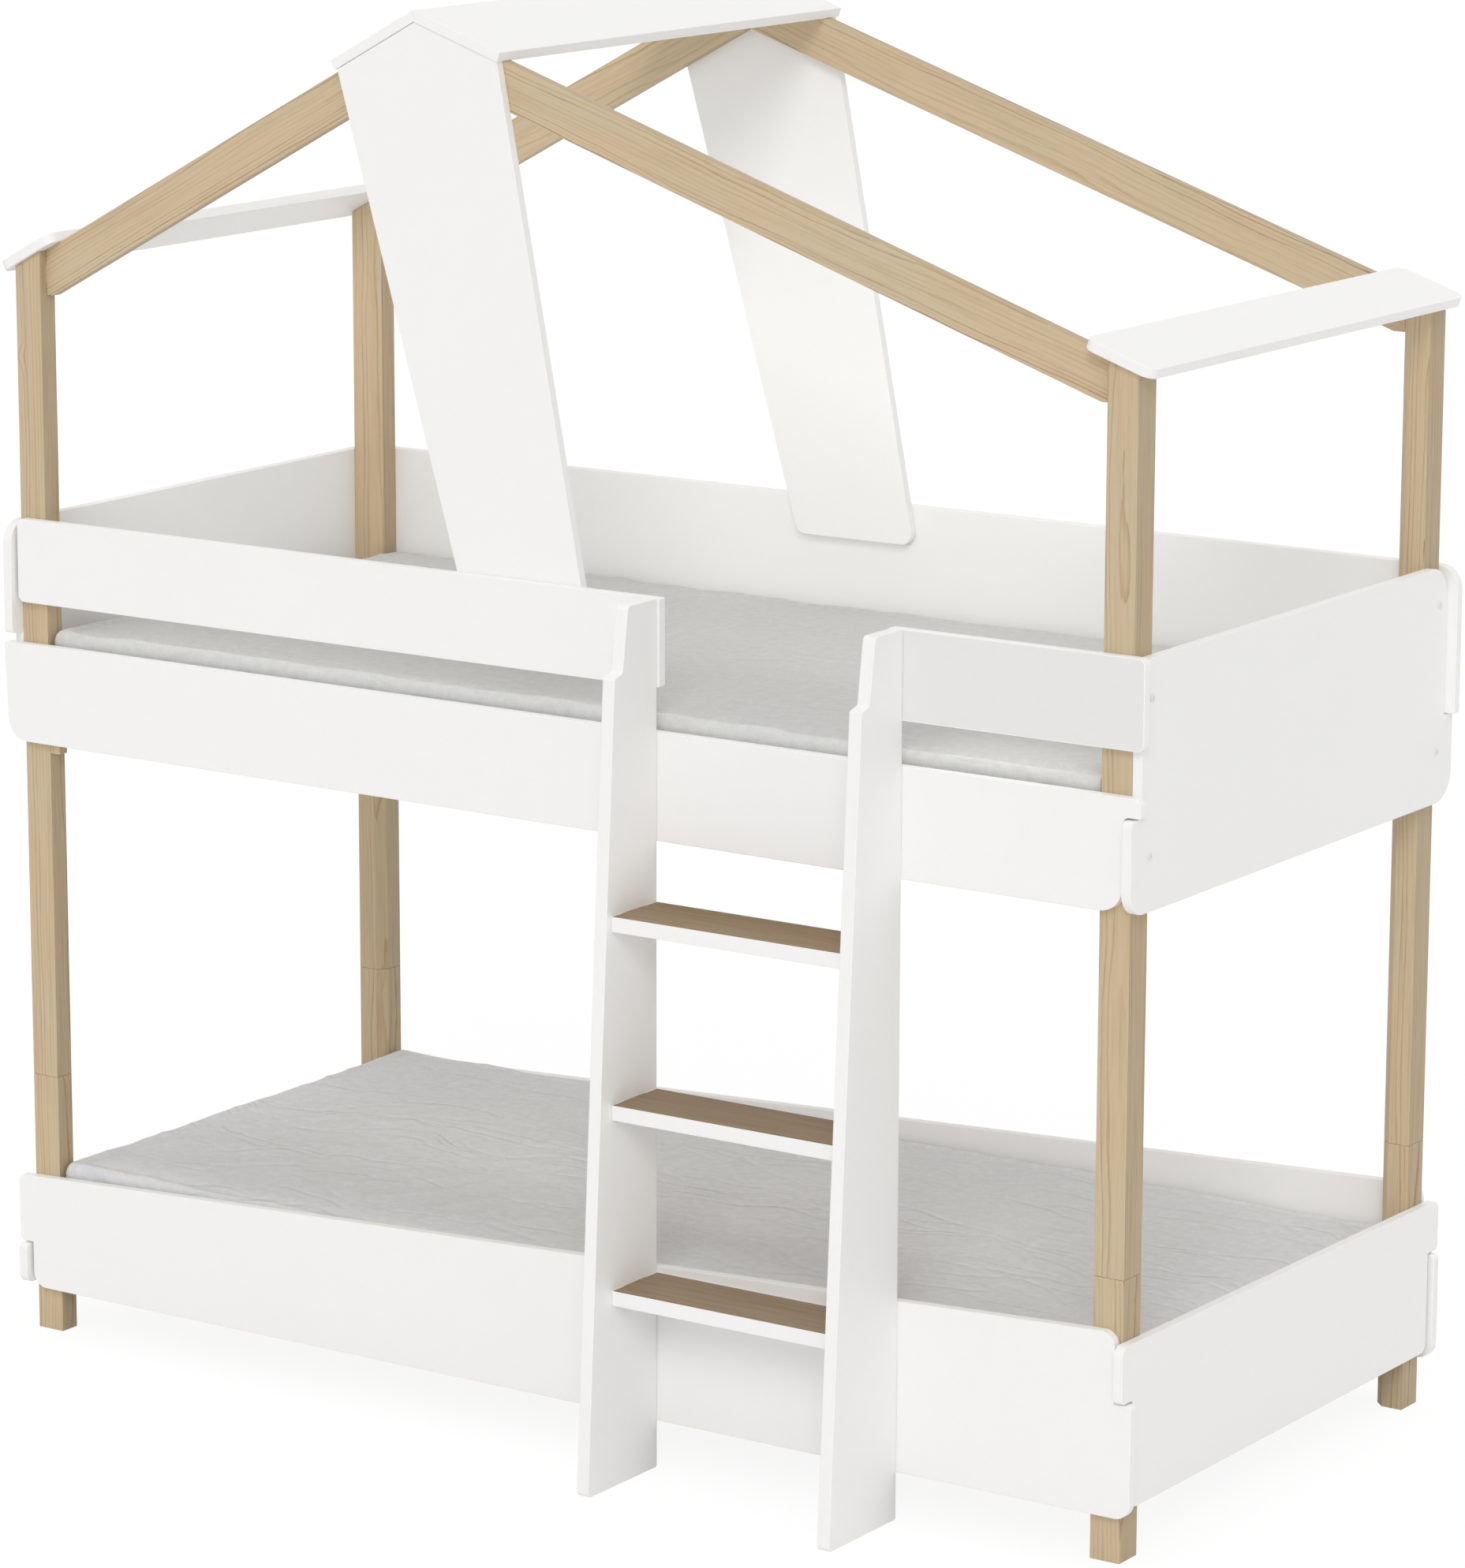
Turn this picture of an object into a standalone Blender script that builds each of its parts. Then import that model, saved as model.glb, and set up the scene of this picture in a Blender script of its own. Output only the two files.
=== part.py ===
"""Bunk bed with a house roof: eight stacked wooden posts, white boards that cross at the corners,
rafters with ridge and eaves boards, a ladder, two slatted bases and two mattresses.

Metres, +Z up, standing on z = 0 with the origin under the middle of the whole bed. Every piece is
placed from the outer front corner of the front left post, and one empty carries that corner to its
place in the frame. X runs along the bed, Y to the back.
"""

import math

import bmesh
import bpy
from mathutils import Matrix, Vector

# Whole bed
bed_length = 2.100
bed_width = 0.946
board_thickness = 0.016
gap = 0.0003
overrun = 0.004
arris = 0.0015
arc_step = math.radians(18)
smooth_limit = math.radians(30)

# Posts: square, with the corner towards the bed's middle cut off
post_side = 0.0515
post_chamfer = 0.0152
lower_post_height = 0.4397
dowel_diameter = 0.010
dowel_length = 0.060
round_sides = 12

# Roof: one ridge off the middle, so the two slopes differ
eaves_height = 1.791
ridge_height = 2.226
ridge_place_share = 0.38667
rafter_thickness = 0.020
rafter_depth = 0.070
rafter_heel_rise = 0.0067
rafter_tenon_length = 0.012
rafter_tenon_height_share = 3 / 7
rafter_tenon_rise_share = 2 / 7
ridge_board_overhang = 0.003
ridge_board_side_reach = 0.003
eaves_board_width = 0.1205
eaves_board_end_reach = 0.029
eaves_board_side_reach = 0.010
eaves_board_corner = 0.020

# Slanted boards, from the gable down behind the guard
slanted_top_left = 0.1503
slanted_top_right = 0.1552
slanted_foot_lean = 0.094
slanted_foot_width = 0.2292
slanted_foot_clearance = 0.112
slanted_corner = 0.020

# Boards that cross at the corners: each passes the other's face with a tongue
tongue_reach = 0.028
crossing_clearance = 0.003
crossing_fillet = 0.009
tongue_corner = 0.003
butt_setback = 0.0045
back_crossing_drop = 0.004

# Upper bed
upper_rail_top = 1.173
upper_rail_left_depth = 0.164
upper_rail_right_depth = 0.1735
upper_rail_left_slant = 0.007
upper_rail_left_corner = 0.006
upper_rail_right_corner = 0.016
upper_rail_low_corner = 0.039
upper_rail_tongue_reach = 0.0247
upper_right_crossing_drop = 0.0315
upper_left_crossing_rise = 0.0145
guard_rise = 0.069
guard_height = 0.138
guard_corner = 0.012
guard_end_cover = 0.0042
upper_panel_drop = 0.177
upper_panel_height = 0.379
upper_panel_front_corner = 0.026
upper_panel_back_corner = 0.048
upper_panel_low_front_corner = 0.038
upper_panel_low_back_corner = 0.050
back_panel_drop = 0.173
back_panel_height = 0.374
back_panel_reach = 0.034
back_panel_corner = 0.036

# Lower bed: its side rails rise to the right
lower_rail_bottom = 0.0756
lower_rail_left_depth = 0.1915
lower_rail_right_depth = 0.2888
lower_rail_left_reach = 0.023
lower_rail_right_reach = 0.0247
lower_rail_left_corner = 0.012
lower_rail_right_corner = 0.024
lower_rail_foot_corner = 0.026
lower_left_crossing_height = 0.1505
lower_right_crossing_height = 0.2555
lower_right_panel_bottom = 0.089
lower_right_panel_front_top = 0.346
lower_right_panel_back_top = 0.335
lower_left_panel_bottom = 0.082
lower_left_panel_height = 0.165
lower_panel_corner = 0.016

# Bases and mattresses
upper_base_drop = 0.116
lower_base_rise = 0.0774
slat_count = 12
slat_width = 0.070
slat_thickness = 0.018
slat_end_clearance = 0.002
strap_width = 0.030
strap_thickness = 0.002
strap_seat = 0.0005
strap_place_shares = (0.25, 0.75)
ledger_width = 0.020
ledger_height = 0.030
corner_block_side = 0.020
corner_block_height = 0.0177
mattress_thickness = 0.140
mattress_end_clearance = 0.0015
mattress_side_clearance = 0.010
mattress_rim = 0.030
mattress_crown = 0.006
mattress_side_draw = 0.005
mattress_length_shares = (1 / 6, 2 / 6, 3 / 6, 4 / 6, 5 / 6)
mattress_width_shares = (1 / 3, 2 / 3)

# Ladder
ladder_place_share = 0.70679
ladder_clear_width = 0.4199
stile_thickness = 0.022
stile_foot_reach = 0.204
stile_shoulder_reach = 0.1285
stile_shoulder_drop = 0.107
stile_shoulder_rise = 0.006
stile_neck_reach = 0.1074
stile_head_reach = 0.0926
stile_foot_corner = 0.009
stile_small_corner = 0.004
tread_height_shares = (0.2702, 0.5217, 0.7741)
tread_thickness = 0.0235
tread_front_reach = 0.139
tread_back_clearance = 0.0004
tread_corner = 0.003
tread_tab_length = 0.010
tread_tab_width = 0.060

# Bolts
panel_bolt_top_inset = 0.060
panel_bolt_bottom_inset = 0.0845
bolt_head_diameter = 0.012
bolt_head_height = 0.0025
bolt_shank_diameter = 0.006
bolt_dome_points = 4
panel_bolt_grip = 0.025
ladder_bolt_grip = 0.030
ladder_rail_bolt_drop = 0.065
ladder_guard_bolt_share = 1 / 3

# Colours, each with its roughness and metallic value
post_wood = ((0.56, 0.42, 0.27), 0.55, 0.0)
roof_wood = ((0.58, 0.45, 0.30), 0.55, 0.0)
base_wood = ((0.60, 0.48, 0.32), 0.65, 0.0)
tread_wood = ((0.25, 0.17, 0.10), 0.50, 0.0)
white_lacquer = ((0.86, 0.86, 0.84), 0.40, 0.0)
mattress_cloth = ((0.62, 0.62, 0.61), 0.90, 0.0)
bolt_paint = ((0.84, 0.84, 0.83), 0.35, 0.0)
bolt_steel = ((0.55, 0.55, 0.56), 0.35, 1.0)

# Sizes worked out from the ones above
ridge_x = bed_length * ridge_place_share
left_slope = (ridge_height - eaves_height) / ridge_x
right_slope = (ridge_height - eaves_height) / (bed_length - ridge_x)
left_angle = math.atan(left_slope)
right_angle = math.atan(right_slope)
front_face = -gap
back_face = bed_width + gap
clear_left = post_side + gap
clear_right = bed_length - post_side - gap
upper_right_crossing_height = upper_rail_top - upper_right_crossing_drop
upper_left_crossing_height = upper_rail_top + upper_left_crossing_rise
upper_panel_bottom = upper_rail_top - upper_panel_drop
back_panel_bottom = upper_rail_top - back_panel_drop
guard_bottom = upper_rail_top + guard_rise
guard_top = guard_bottom + guard_height
upper_base_top = upper_rail_top - upper_base_drop
lower_base_top = lower_rail_bottom + lower_base_rise
slanted_foot_x = ridge_x + slanted_foot_lean
slanted_foot_height = upper_base_top + mattress_thickness + slanted_foot_clearance
rafter_tenon_height = rafter_depth * rafter_tenon_height_share
rafter_tenon_rise = rafter_depth * rafter_tenon_rise_share
ladder_x = bed_length * ladder_place_share
stile_shoulder_height = guard_top - stile_shoulder_drop
ladder_left = ladder_x - ladder_clear_width / 2
ladder_right = ladder_x + ladder_clear_width / 2
stile_back = front_face - board_thickness - gap
centre_x = bed_length / 2
centre_y = (bed_width + tongue_reach - stile_foot_reach) / 2


# Scene and finishes


def clear_scene():
    """Removes every object of the scene."""
    for obj in list(bpy.data.objects):
        bpy.data.objects.remove(obj)


def new_collection(name):
    collection = bpy.data.collections.new(name)
    bpy.context.scene.collection.children.link(collection)
    return collection


def finish(obj, look):
    """Gives the object its own Principled material."""
    colour, roughness, metallic = look
    material = bpy.data.materials.new(obj.name + "_finish")
    material.use_nodes = True
    shader = material.node_tree.nodes["Principled BSDF"]
    shader.inputs["Base Color"].default_value = (*colour, 1)
    shader.inputs["Roughness"].default_value = roughness
    shader.inputs["Metallic"].default_value = metallic
    obj.data.materials.clear()
    obj.data.materials.append(material)


clear_scene()
parts = new_collection("bunk_bed")
cutters = new_collection("cutters")
corner = bpy.data.objects.new("front_left_corner", None)
corner.location = (-centre_x, -centre_y, 0)
parts.objects.link(corner)


def place(obj, location, rotation=(0, 0, 0)):
    obj.parent = corner
    obj.location = location
    obj.rotation_euler = rotation
    return obj


# Shapes


def rounded(corners):
    """Points of a closed outline from (u, v, radius) corners, each rounded by an arc that its edges can hold."""
    points = []
    for index, (u, v, radius) in enumerate(corners):
        here = Vector((u, v))
        before = Vector(corners[index - 1][:2]) - here
        after = Vector(corners[(index + 1) % len(corners)][:2]) - here
        turn = math.pi - before.angle(after)
        setback = min(radius * math.tan(turn / 2), before.length / 2, after.length / 2)
        if setback <= 0:
            points.append(here)
            continue
        start = here + before.normalized() * setback
        end = here + after.normalized() * setback
        arc_radius = setback / math.tan(turn / 2)
        centre = here + (before.normalized() + after.normalized()).normalized() * arc_radius / math.cos(turn / 2)
        steps = max(1, math.ceil(turn / arc_step))
        sweep = (start - centre).angle_signed(end - centre)
        for step in range(steps + 1):
            points.append(centre + Matrix.Rotation(-sweep * step / steps, 2) @ (start - centre))
    return points


def slab(name, corners, thickness, location, rotation, look):
    """A flat piece: the rounded outline in the local XY plane, half its thickness to each side."""
    curve = bpy.data.curves.new(name, "CURVE")
    curve.dimensions = "2D"
    curve.fill_mode = "BOTH"
    curve.extrude = thickness / 2 - arris
    curve.bevel_depth = arris
    curve.bevel_resolution = 0
    curve.offset = -arris
    spline = curve.splines.new("POLY")
    points = rounded(corners)
    spline.points.add(len(points) - 1)
    for point, (u, v) in zip(spline.points, points):
        point.co = (u, v, 0, 1)
    spline.use_cyclic_u = True
    outline = bpy.data.objects.new(name + "_outline", curve)
    parts.objects.link(outline)
    place(outline, location, rotation)
    obj = mesh_from(outline, name)
    finish(obj, look)
    return obj


def mesh_from(outline, name):
    """A mesh object in the outline's place, with its caps welded; the outline is removed."""
    bpy.context.view_layer.update()
    graph = bpy.context.evaluated_depsgraph_get()
    mesh = bpy.data.meshes.new_from_object(outline.evaluated_get(graph))
    bm = bmesh.new()
    bm.from_mesh(mesh)
    bmesh.ops.remove_doubles(bm, verts=bm.verts, dist=gap / 10)
    bmesh.ops.recalc_face_normals(bm, faces=bm.faces)
    bm.to_mesh(mesh)
    bm.free()
    obj = bpy.data.objects.new(name, mesh)
    parts.objects.link(obj)
    place(obj, outline.location, outline.rotation_euler)
    bpy.data.objects.remove(outline)
    return obj


def soften(obj):
    """Takes the sharpness off the arrises of a block."""
    bevel = obj.modifiers.new("Arris", "BEVEL")
    bevel.width = arris
    bevel.segments = 1
    bevel.limit_method = "ANGLE"
    bevel.angle_limit = smooth_limit


def side_board(name, corners, y_front, thickness, look):
    """A slab upright along the bed, its outline in X and Z, from y_front to the back."""
    return slab(name, corners, thickness, (0, y_front + thickness / 2, 0), (math.pi / 2, 0, 0), look)


def end_board(name, corners, x_left, thickness, look):
    """A slab upright across the bed, its outline in Y and Z, from x_left to the right."""
    turned_up = (math.pi / 2, 0, math.pi / 2)
    return slab(name, corners, thickness, (x_left + thickness / 2, 0, 0), turned_up, look)


def box_mesh(name, low, high):
    """A box between two opposite corners, its origin at its middle."""
    low, high = Vector(low), Vector(high)
    mesh = bpy.data.meshes.new(name)
    bm = bmesh.new()
    bmesh.ops.create_cube(bm, size=1)
    bmesh.ops.scale(bm, vec=high - low, verts=bm.verts)
    bm.to_mesh(mesh)
    bm.free()
    return mesh, (low + high) / 2


def box(name, low, high, look):
    mesh, middle = box_mesh(name, low, high)
    obj = bpy.data.objects.new(name, mesh)
    parts.objects.link(obj)
    place(obj, middle)
    finish(obj, look)
    soften(obj)
    return obj


def hide_cutter(obj):
    obj.hide_render = True
    obj.display_type = "WIRE"


def combine(obj, tool, operation):
    modifier = obj.modifiers.new(operation.title(), "BOOLEAN")
    modifier.operation = operation
    modifier.solver = "EXACT"
    modifier.object = tool


def pocket(obj, low, high):
    """Cuts a box between two opposite corners out of the object."""
    name = f"{obj.name}_pocket_{len(obj.modifiers)}"
    mesh, middle = box_mesh(name, low, high)
    cutter = bpy.data.objects.new(name, mesh)
    cutters.objects.link(cutter)
    place(cutter, middle)
    hide_cutter(cutter)
    combine(obj, cutter, "DIFFERENCE")


def rod_mesh(name, diameter, length):
    mesh = bpy.data.meshes.new(name)
    bm = bmesh.new()
    bmesh.ops.create_cone(
        bm, cap_ends=True, segments=round_sides, radius1=diameter / 2, radius2=diameter / 2, depth=length
    )
    bm.to_mesh(mesh)
    bm.free()
    return mesh


axis_turns = {"X": (0, math.pi / 2, 0), "Y": (math.pi / 2, 0, 0), "Z": (0, 0, 0)}


def drill(obj, middle, axis, diameter, length):
    """Cuts a round hole along an axis, centred on its middle, with the running gap all round."""
    name = f"{obj.name}_hole_{len(obj.modifiers)}"
    cutter = bpy.data.objects.new(name, rod_mesh(name, diameter + 2 * gap, length))
    cutters.objects.link(cutter)
    place(cutter, middle, axis_turns[axis])
    hide_cutter(cutter)
    combine(obj, cutter, "DIFFERENCE")


def turned(name, profile, location, rotation, look):
    """A solid turned about its own Z axis from (radius, height) points, listed from the top down."""
    mesh = bpy.data.meshes.new(name)
    points = [(radius, 0, height) for radius, height in profile]
    mesh.from_pydata(points, [(index, index + 1) for index in range(len(points) - 1)], [])
    obj = bpy.data.objects.new(name, mesh)
    parts.objects.link(obj)
    place(obj, location, rotation)
    finish(obj, look)
    screw = obj.modifiers.new("Turn", "SCREW")
    screw.steps = round_sides
    screw.render_steps = round_sides
    screw.use_merge_vertices = True
    screw.merge_threshold = gap / 10
    return obj


# Posts


def left_roof(x):
    """Height of the left slope's plane, on which the roof boards lie."""
    return eaves_height + left_slope * x


def right_roof(x):
    return eaves_height + right_slope * (bed_length - x)


def post(name, at_left, at_front, bottom, roof=None, height=None):
    """A post by its side and end of the bed; with a roof given, its top follows that slope."""
    inward_x, inward_y = (1 if at_left else -1), (1 if at_front else -1)
    x = post_side / 2 if at_left else bed_length - post_side / 2
    y = post_side / 2 if at_front else bed_width - post_side / 2
    top = bottom + height if roof is None else roof(x)
    mesh = bpy.data.meshes.new(name)
    bm = bmesh.new()
    bmesh.ops.create_cube(bm, size=1)
    bmesh.ops.scale(bm, vec=(post_side, post_side, top - bottom), verts=bm.verts)
    bmesh.ops.translate(bm, vec=(0, 0, (top - bottom) / 2), verts=bm.verts)
    inner = [
        edge
        for edge in bm.edges
        if all(vert.co.x * inward_x > 0 and vert.co.y * inward_y > 0 for vert in edge.verts)
    ]
    bmesh.ops.bevel(bm, geom=inner, offset=post_chamfer, segments=1, affect="EDGES")
    if roof is not None:
        for vert in bm.verts:
            if vert.co.z > 0:
                vert.co.z = roof(x + vert.co.x) - bottom
    bm.to_mesh(mesh)
    bm.free()
    obj = bpy.data.objects.new(name, mesh)
    parts.objects.link(obj)
    place(obj, (x, y, bottom))
    finish(obj, post_wood)
    soften(obj)
    return obj


def post_dowel(name, x, y):
    mesh = rod_mesh(name, dowel_diameter, dowel_length)
    obj = bpy.data.objects.new(name, mesh)
    parts.objects.link(obj)
    place(obj, (x, y, lower_post_height))
    finish(obj, base_wood)


def corner_posts():
    """Four stacks of a lower and an upper post with a dowel between, by corner name."""
    uppers = {}
    for end, at_left in (("left", True), ("right", False)):
        for side, at_front in (("front", True), ("back", False)):
            roof = left_roof if at_left else right_roof
            tag = f"{side}_{end}"
            lower = post(f"lower_post_{tag}", at_left, at_front, 0, height=lower_post_height)
            upper = post(f"upper_post_{tag}", at_left, at_front, lower_post_height + gap, roof=roof)
            x, y, _ = lower.location
            for piece in (lower, upper):
                drill(piece, (x, y, lower_post_height), "Z", dowel_diameter, dowel_length + 2 * gap)
            post_dowel(f"post_dowel_{tag}", x, y)
            uppers[tag] = upper
    return uppers


# Roof


def rafter(name, at_left, y_front, carrier):
    """A rafter from the ridge to the inner face of its post, with a tenon in the post."""
    sign = 1 if at_left else -1
    slope, angle = (left_slope, left_angle) if at_left else (right_slope, right_angle)
    roof = left_roof if at_left else right_roof
    drop = rafter_depth / math.cos(angle)
    foot = clear_left if at_left else clear_right
    top = ridge_x - sign * gap / 2
    seat = roof(foot) - drop + rafter_heel_rise
    tenon_low = seat + rafter_tenon_rise
    tenon_high = tenon_low + rafter_tenon_height
    tip = foot - sign * rafter_tenon_length
    corners = [
        (foot, roof(foot), 0),
        (foot, tenon_high, 0),
        (tip, tenon_high, 0),
        (tip, tenon_low, 0),
        (foot, tenon_low, 0),
        (foot, seat, 0),
        (foot + sign * rafter_heel_rise / slope, seat, 0),
        (top, roof(top) - drop, 0),
        (top, roof(top), 0),
    ]
    side_board(name, corners, y_front, rafter_thickness, roof_wood)
    ends = sorted((tip - sign * gap, foot + sign * overrun))
    pocket(
        carrier,
        (ends[0], y_front - gap, tenon_low - gap),
        (ends[1], y_front + rafter_thickness + gap, tenon_high + gap),
    )


def slanted_board(name, y_front):
    """A board from the gable's peak, leaning to the right and narrowing to its foot."""
    left, right = ridge_x - slanted_top_left, ridge_x + slanted_top_right
    corners = [
        (slanted_foot_x, slanted_foot_height, slanted_corner),
        (slanted_foot_x + slanted_foot_width, slanted_foot_height, slanted_corner),
        (right, right_roof(right), 0),
        (ridge_x, ridge_height, 0),
        (left, left_roof(left), 0),
    ]
    side_board(name, corners, y_front, board_thickness, white_lacquer)


def ridge_board(name, at_left):
    """One of the two boards over the ridge, mitred where their tops meet."""
    sign = -1 if at_left else 1
    angle = left_angle if at_left else right_angle
    roof = left_roof if at_left else right_roof
    reach = slanted_top_left if at_left else slanted_top_right
    under = ridge_x + sign * (reach + ridge_board_overhang)
    rise_left = (board_thickness + gap) / math.cos(left_angle)
    rise_right = (board_thickness + gap) / math.cos(right_angle)
    peak_x = ridge_x + (rise_right - rise_left) / (left_slope + right_slope)
    peak_z = left_roof(peak_x) + rise_left
    lift = gap / math.cos(angle)
    corners = [
        (under, roof(under) + lift, 0),
        (ridge_x + sign * gap / 2, ridge_height + lift, 0),
        (peak_x + sign * gap / 2, peak_z, 0),
        (
            under + sign * board_thickness * math.sin(angle),
            roof(under) + lift + board_thickness * math.cos(angle),
            0,
        ),
    ]
    y_front = -ridge_board_side_reach
    side_board(name, corners, y_front, bed_width + 2 * ridge_board_side_reach, white_lacquer)


def eaves_board(name, at_left):
    """A board with rounded corners, flat on the rafters' feet and past the posts."""
    sign = 1 if at_left else -1
    angle = left_angle if at_left else right_angle
    roof = left_roof if at_left else right_roof
    outer = -eaves_board_end_reach if at_left else bed_length + eaves_board_end_reach
    under = outer + sign * (board_thickness + gap) * math.sin(angle)
    middle_out = gap + board_thickness / 2
    x = under + sign * (eaves_board_width / 2 * math.cos(angle) - middle_out * math.sin(angle))
    z = roof(under) + eaves_board_width / 2 * math.sin(angle) + middle_out * math.cos(angle)
    half_width = eaves_board_width / 2
    half_length = bed_width / 2 + eaves_board_side_reach
    corners = [
        (u, v, eaves_board_corner)
        for u, v in (
            (-half_width, -half_length),
            (half_width, -half_length),
            (half_width, half_length),
            (-half_width, half_length),
        )
    ]
    slab(name, corners, board_thickness, (x, bed_width / 2, z), (0, -sign * angle, 0), white_lacquer)


def roof(uppers):
    """Rafters in front and at the back, the slanted boards outside them, and the boards on top."""
    front = board_thickness + gap
    back = bed_width - board_thickness - gap - rafter_thickness
    for side, y_front in (("front", front), ("back", back)):
        for end, at_left in (("left", True), ("right", False)):
            rafter(f"rafter_{side}_{end}", at_left, y_front, uppers[f"{side}_{end}"])
    slanted_board("slanted_board_front", 0)
    slanted_board("slanted_board_back", bed_width - board_thickness)
    for end, at_left in (("left", True), ("right", False)):
        ridge_board(f"ridge_board_{end}", at_left)
        eaves_board(f"eaves_board_{end}", at_left)


# Upper bed


def upper_front_rail():
    """The rail's right end passes the end panel with a tongue at its top only."""
    tongue_bottom = upper_right_crossing_height + crossing_clearance / 2
    tongue_end = bed_length + upper_rail_tongue_reach
    butt = bed_length - butt_setback
    low_left = upper_rail_top - upper_rail_left_depth
    low_right = upper_rail_top - upper_rail_right_depth
    corners = [
        (-tongue_reach + upper_rail_left_slant, low_left, upper_rail_low_corner),
        (butt, low_right, upper_rail_low_corner),
        (butt, tongue_bottom, crossing_fillet),
        (tongue_end, tongue_bottom, tongue_corner),
        (tongue_end, upper_rail_top, upper_rail_right_corner),
        (-tongue_reach, upper_rail_top, upper_rail_left_corner),
    ]
    return side_board("upper_front_rail", corners, front_face - board_thickness, board_thickness, white_lacquer)


def guard(name, left, right, left_corner, right_corner):
    corners = [
        (left, guard_bottom, left_corner),
        (right, guard_bottom, right_corner),
        (right, guard_top, right_corner),
        (left, guard_top, left_corner),
    ]
    return side_board(name, corners, front_face - board_thickness, board_thickness, white_lacquer)


def guards():
    """Long guard from the left end to the ladder, short guard from the ladder past the right end."""
    long_end = ladder_left + guard_end_cover
    short_end = ladder_right - guard_end_cover
    long_guard = guard("upper_guard_long", butt_setback, long_end, guard_corner, tongue_corner)
    short_guard = guard("upper_guard_short", short_end, bed_length + tongue_reach, tongue_corner, guard_corner)
    return long_guard, short_guard


def upper_back_panel():
    """Passes the right end panel with its upper part, and the left one with its lower part."""
    top = back_panel_bottom + back_panel_height
    right_step = upper_right_crossing_height - back_crossing_drop + crossing_clearance / 2
    left_step = upper_left_crossing_height - back_crossing_drop - crossing_clearance / 2
    left_end = -back_panel_reach
    right_end = bed_length + back_panel_reach
    corners = [
        (left_end, back_panel_bottom, back_panel_corner),
        (bed_length - butt_setback, back_panel_bottom, back_panel_corner),
        (bed_length - butt_setback, right_step, crossing_fillet),
        (right_end, right_step, tongue_corner),
        (right_end, top, back_panel_corner),
        (butt_setback, top, back_panel_corner),
        (butt_setback, left_step, crossing_fillet),
        (left_end, left_step, tongue_corner),
    ]
    side_board("upper_back_panel", corners, back_face, board_thickness, white_lacquer)


def upper_end_panel_right():
    """Its lower part passes the front rail and the back panel."""
    step = upper_right_crossing_height - crossing_clearance / 2
    top = upper_panel_bottom + upper_panel_height
    front, back = -tongue_reach, bed_width + tongue_reach
    corners = [
        (front, upper_panel_bottom, upper_panel_low_front_corner),
        (back, upper_panel_bottom, upper_panel_low_back_corner),
        (back, step - back_crossing_drop, tongue_corner),
        (bed_width, step - back_crossing_drop, 0),
        (bed_width, top, upper_panel_back_corner),
        (0, top, upper_panel_front_corner),
        (0, step, 0),
        (front, step, crossing_fillet),
    ]
    x_left = bed_length + gap
    return end_board("upper_end_panel_right", corners, x_left, board_thickness, white_lacquer)


def upper_end_panel_left():
    """Its upper part passes the guard's end and the back panel."""
    step = upper_left_crossing_height + crossing_clearance / 2
    top = upper_panel_bottom + upper_panel_height
    front, back = -tongue_reach, bed_width + tongue_reach
    corners = [
        (0, upper_panel_bottom, upper_panel_low_front_corner),
        (bed_width, upper_panel_bottom, upper_panel_low_back_corner),
        (bed_width, step - back_crossing_drop, 0),
        (back, step - back_crossing_drop, tongue_corner),
        (back, top, upper_panel_back_corner),
        (front, top, upper_panel_low_front_corner),
        (front, step, crossing_fillet),
        (0, step, 0),
    ]
    x_left = -gap - board_thickness
    return end_board("upper_end_panel_left", corners, x_left, board_thickness, white_lacquer)


# Lower bed


def lower_rail_top(x):
    """The lower rails' top edge, which rises evenly to the right."""
    rise = lower_rail_right_depth - lower_rail_left_depth
    return lower_rail_bottom + lower_rail_left_depth + rise * x / bed_length


def lower_side_rail(name, y_front, drop):
    """Passes the left end panel with its upper part, and the right one with its lower part."""
    left_step = lower_left_crossing_height - drop + crossing_clearance / 2
    right_step = lower_right_crossing_height - drop - crossing_clearance / 2
    left_end = -lower_rail_left_reach
    right_end = bed_length + lower_rail_right_reach
    left_butt = butt_setback
    right_butt = bed_length - butt_setback
    corners = [
        (left_butt, lower_rail_bottom, lower_rail_foot_corner),
        (right_end, lower_rail_bottom, lower_rail_foot_corner),
        (right_end, right_step, crossing_fillet),
        (right_butt, right_step, 0),
        (right_butt, lower_rail_top(right_butt), lower_rail_right_corner),
        (left_end, lower_rail_top(left_end), lower_rail_left_corner),
        (left_end, left_step, lower_rail_left_corner),
        (left_butt, left_step, 0),
    ]
    return side_board(name, corners, y_front, board_thickness, white_lacquer)


def lower_end_panel_right():
    """Its upper part passes the two side rails, and its top falls to the back."""
    step = lower_right_crossing_height + crossing_clearance / 2
    front, back = -tongue_reach, bed_width + tongue_reach
    corners = [
        (butt_setback, lower_right_panel_bottom, lower_panel_corner),
        (bed_width - butt_setback, lower_right_panel_bottom, lower_panel_corner),
        (bed_width - butt_setback, step - back_crossing_drop, 0),
        (back, step - back_crossing_drop, crossing_fillet),
        (back, lower_right_panel_back_top, lower_panel_corner),
        (front, lower_right_panel_front_top, lower_panel_corner),
        (front, step, crossing_fillet),
        (butt_setback, step, 0),
    ]
    end_board("lower_end_panel_right", corners, bed_length + gap, board_thickness, white_lacquer)


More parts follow.
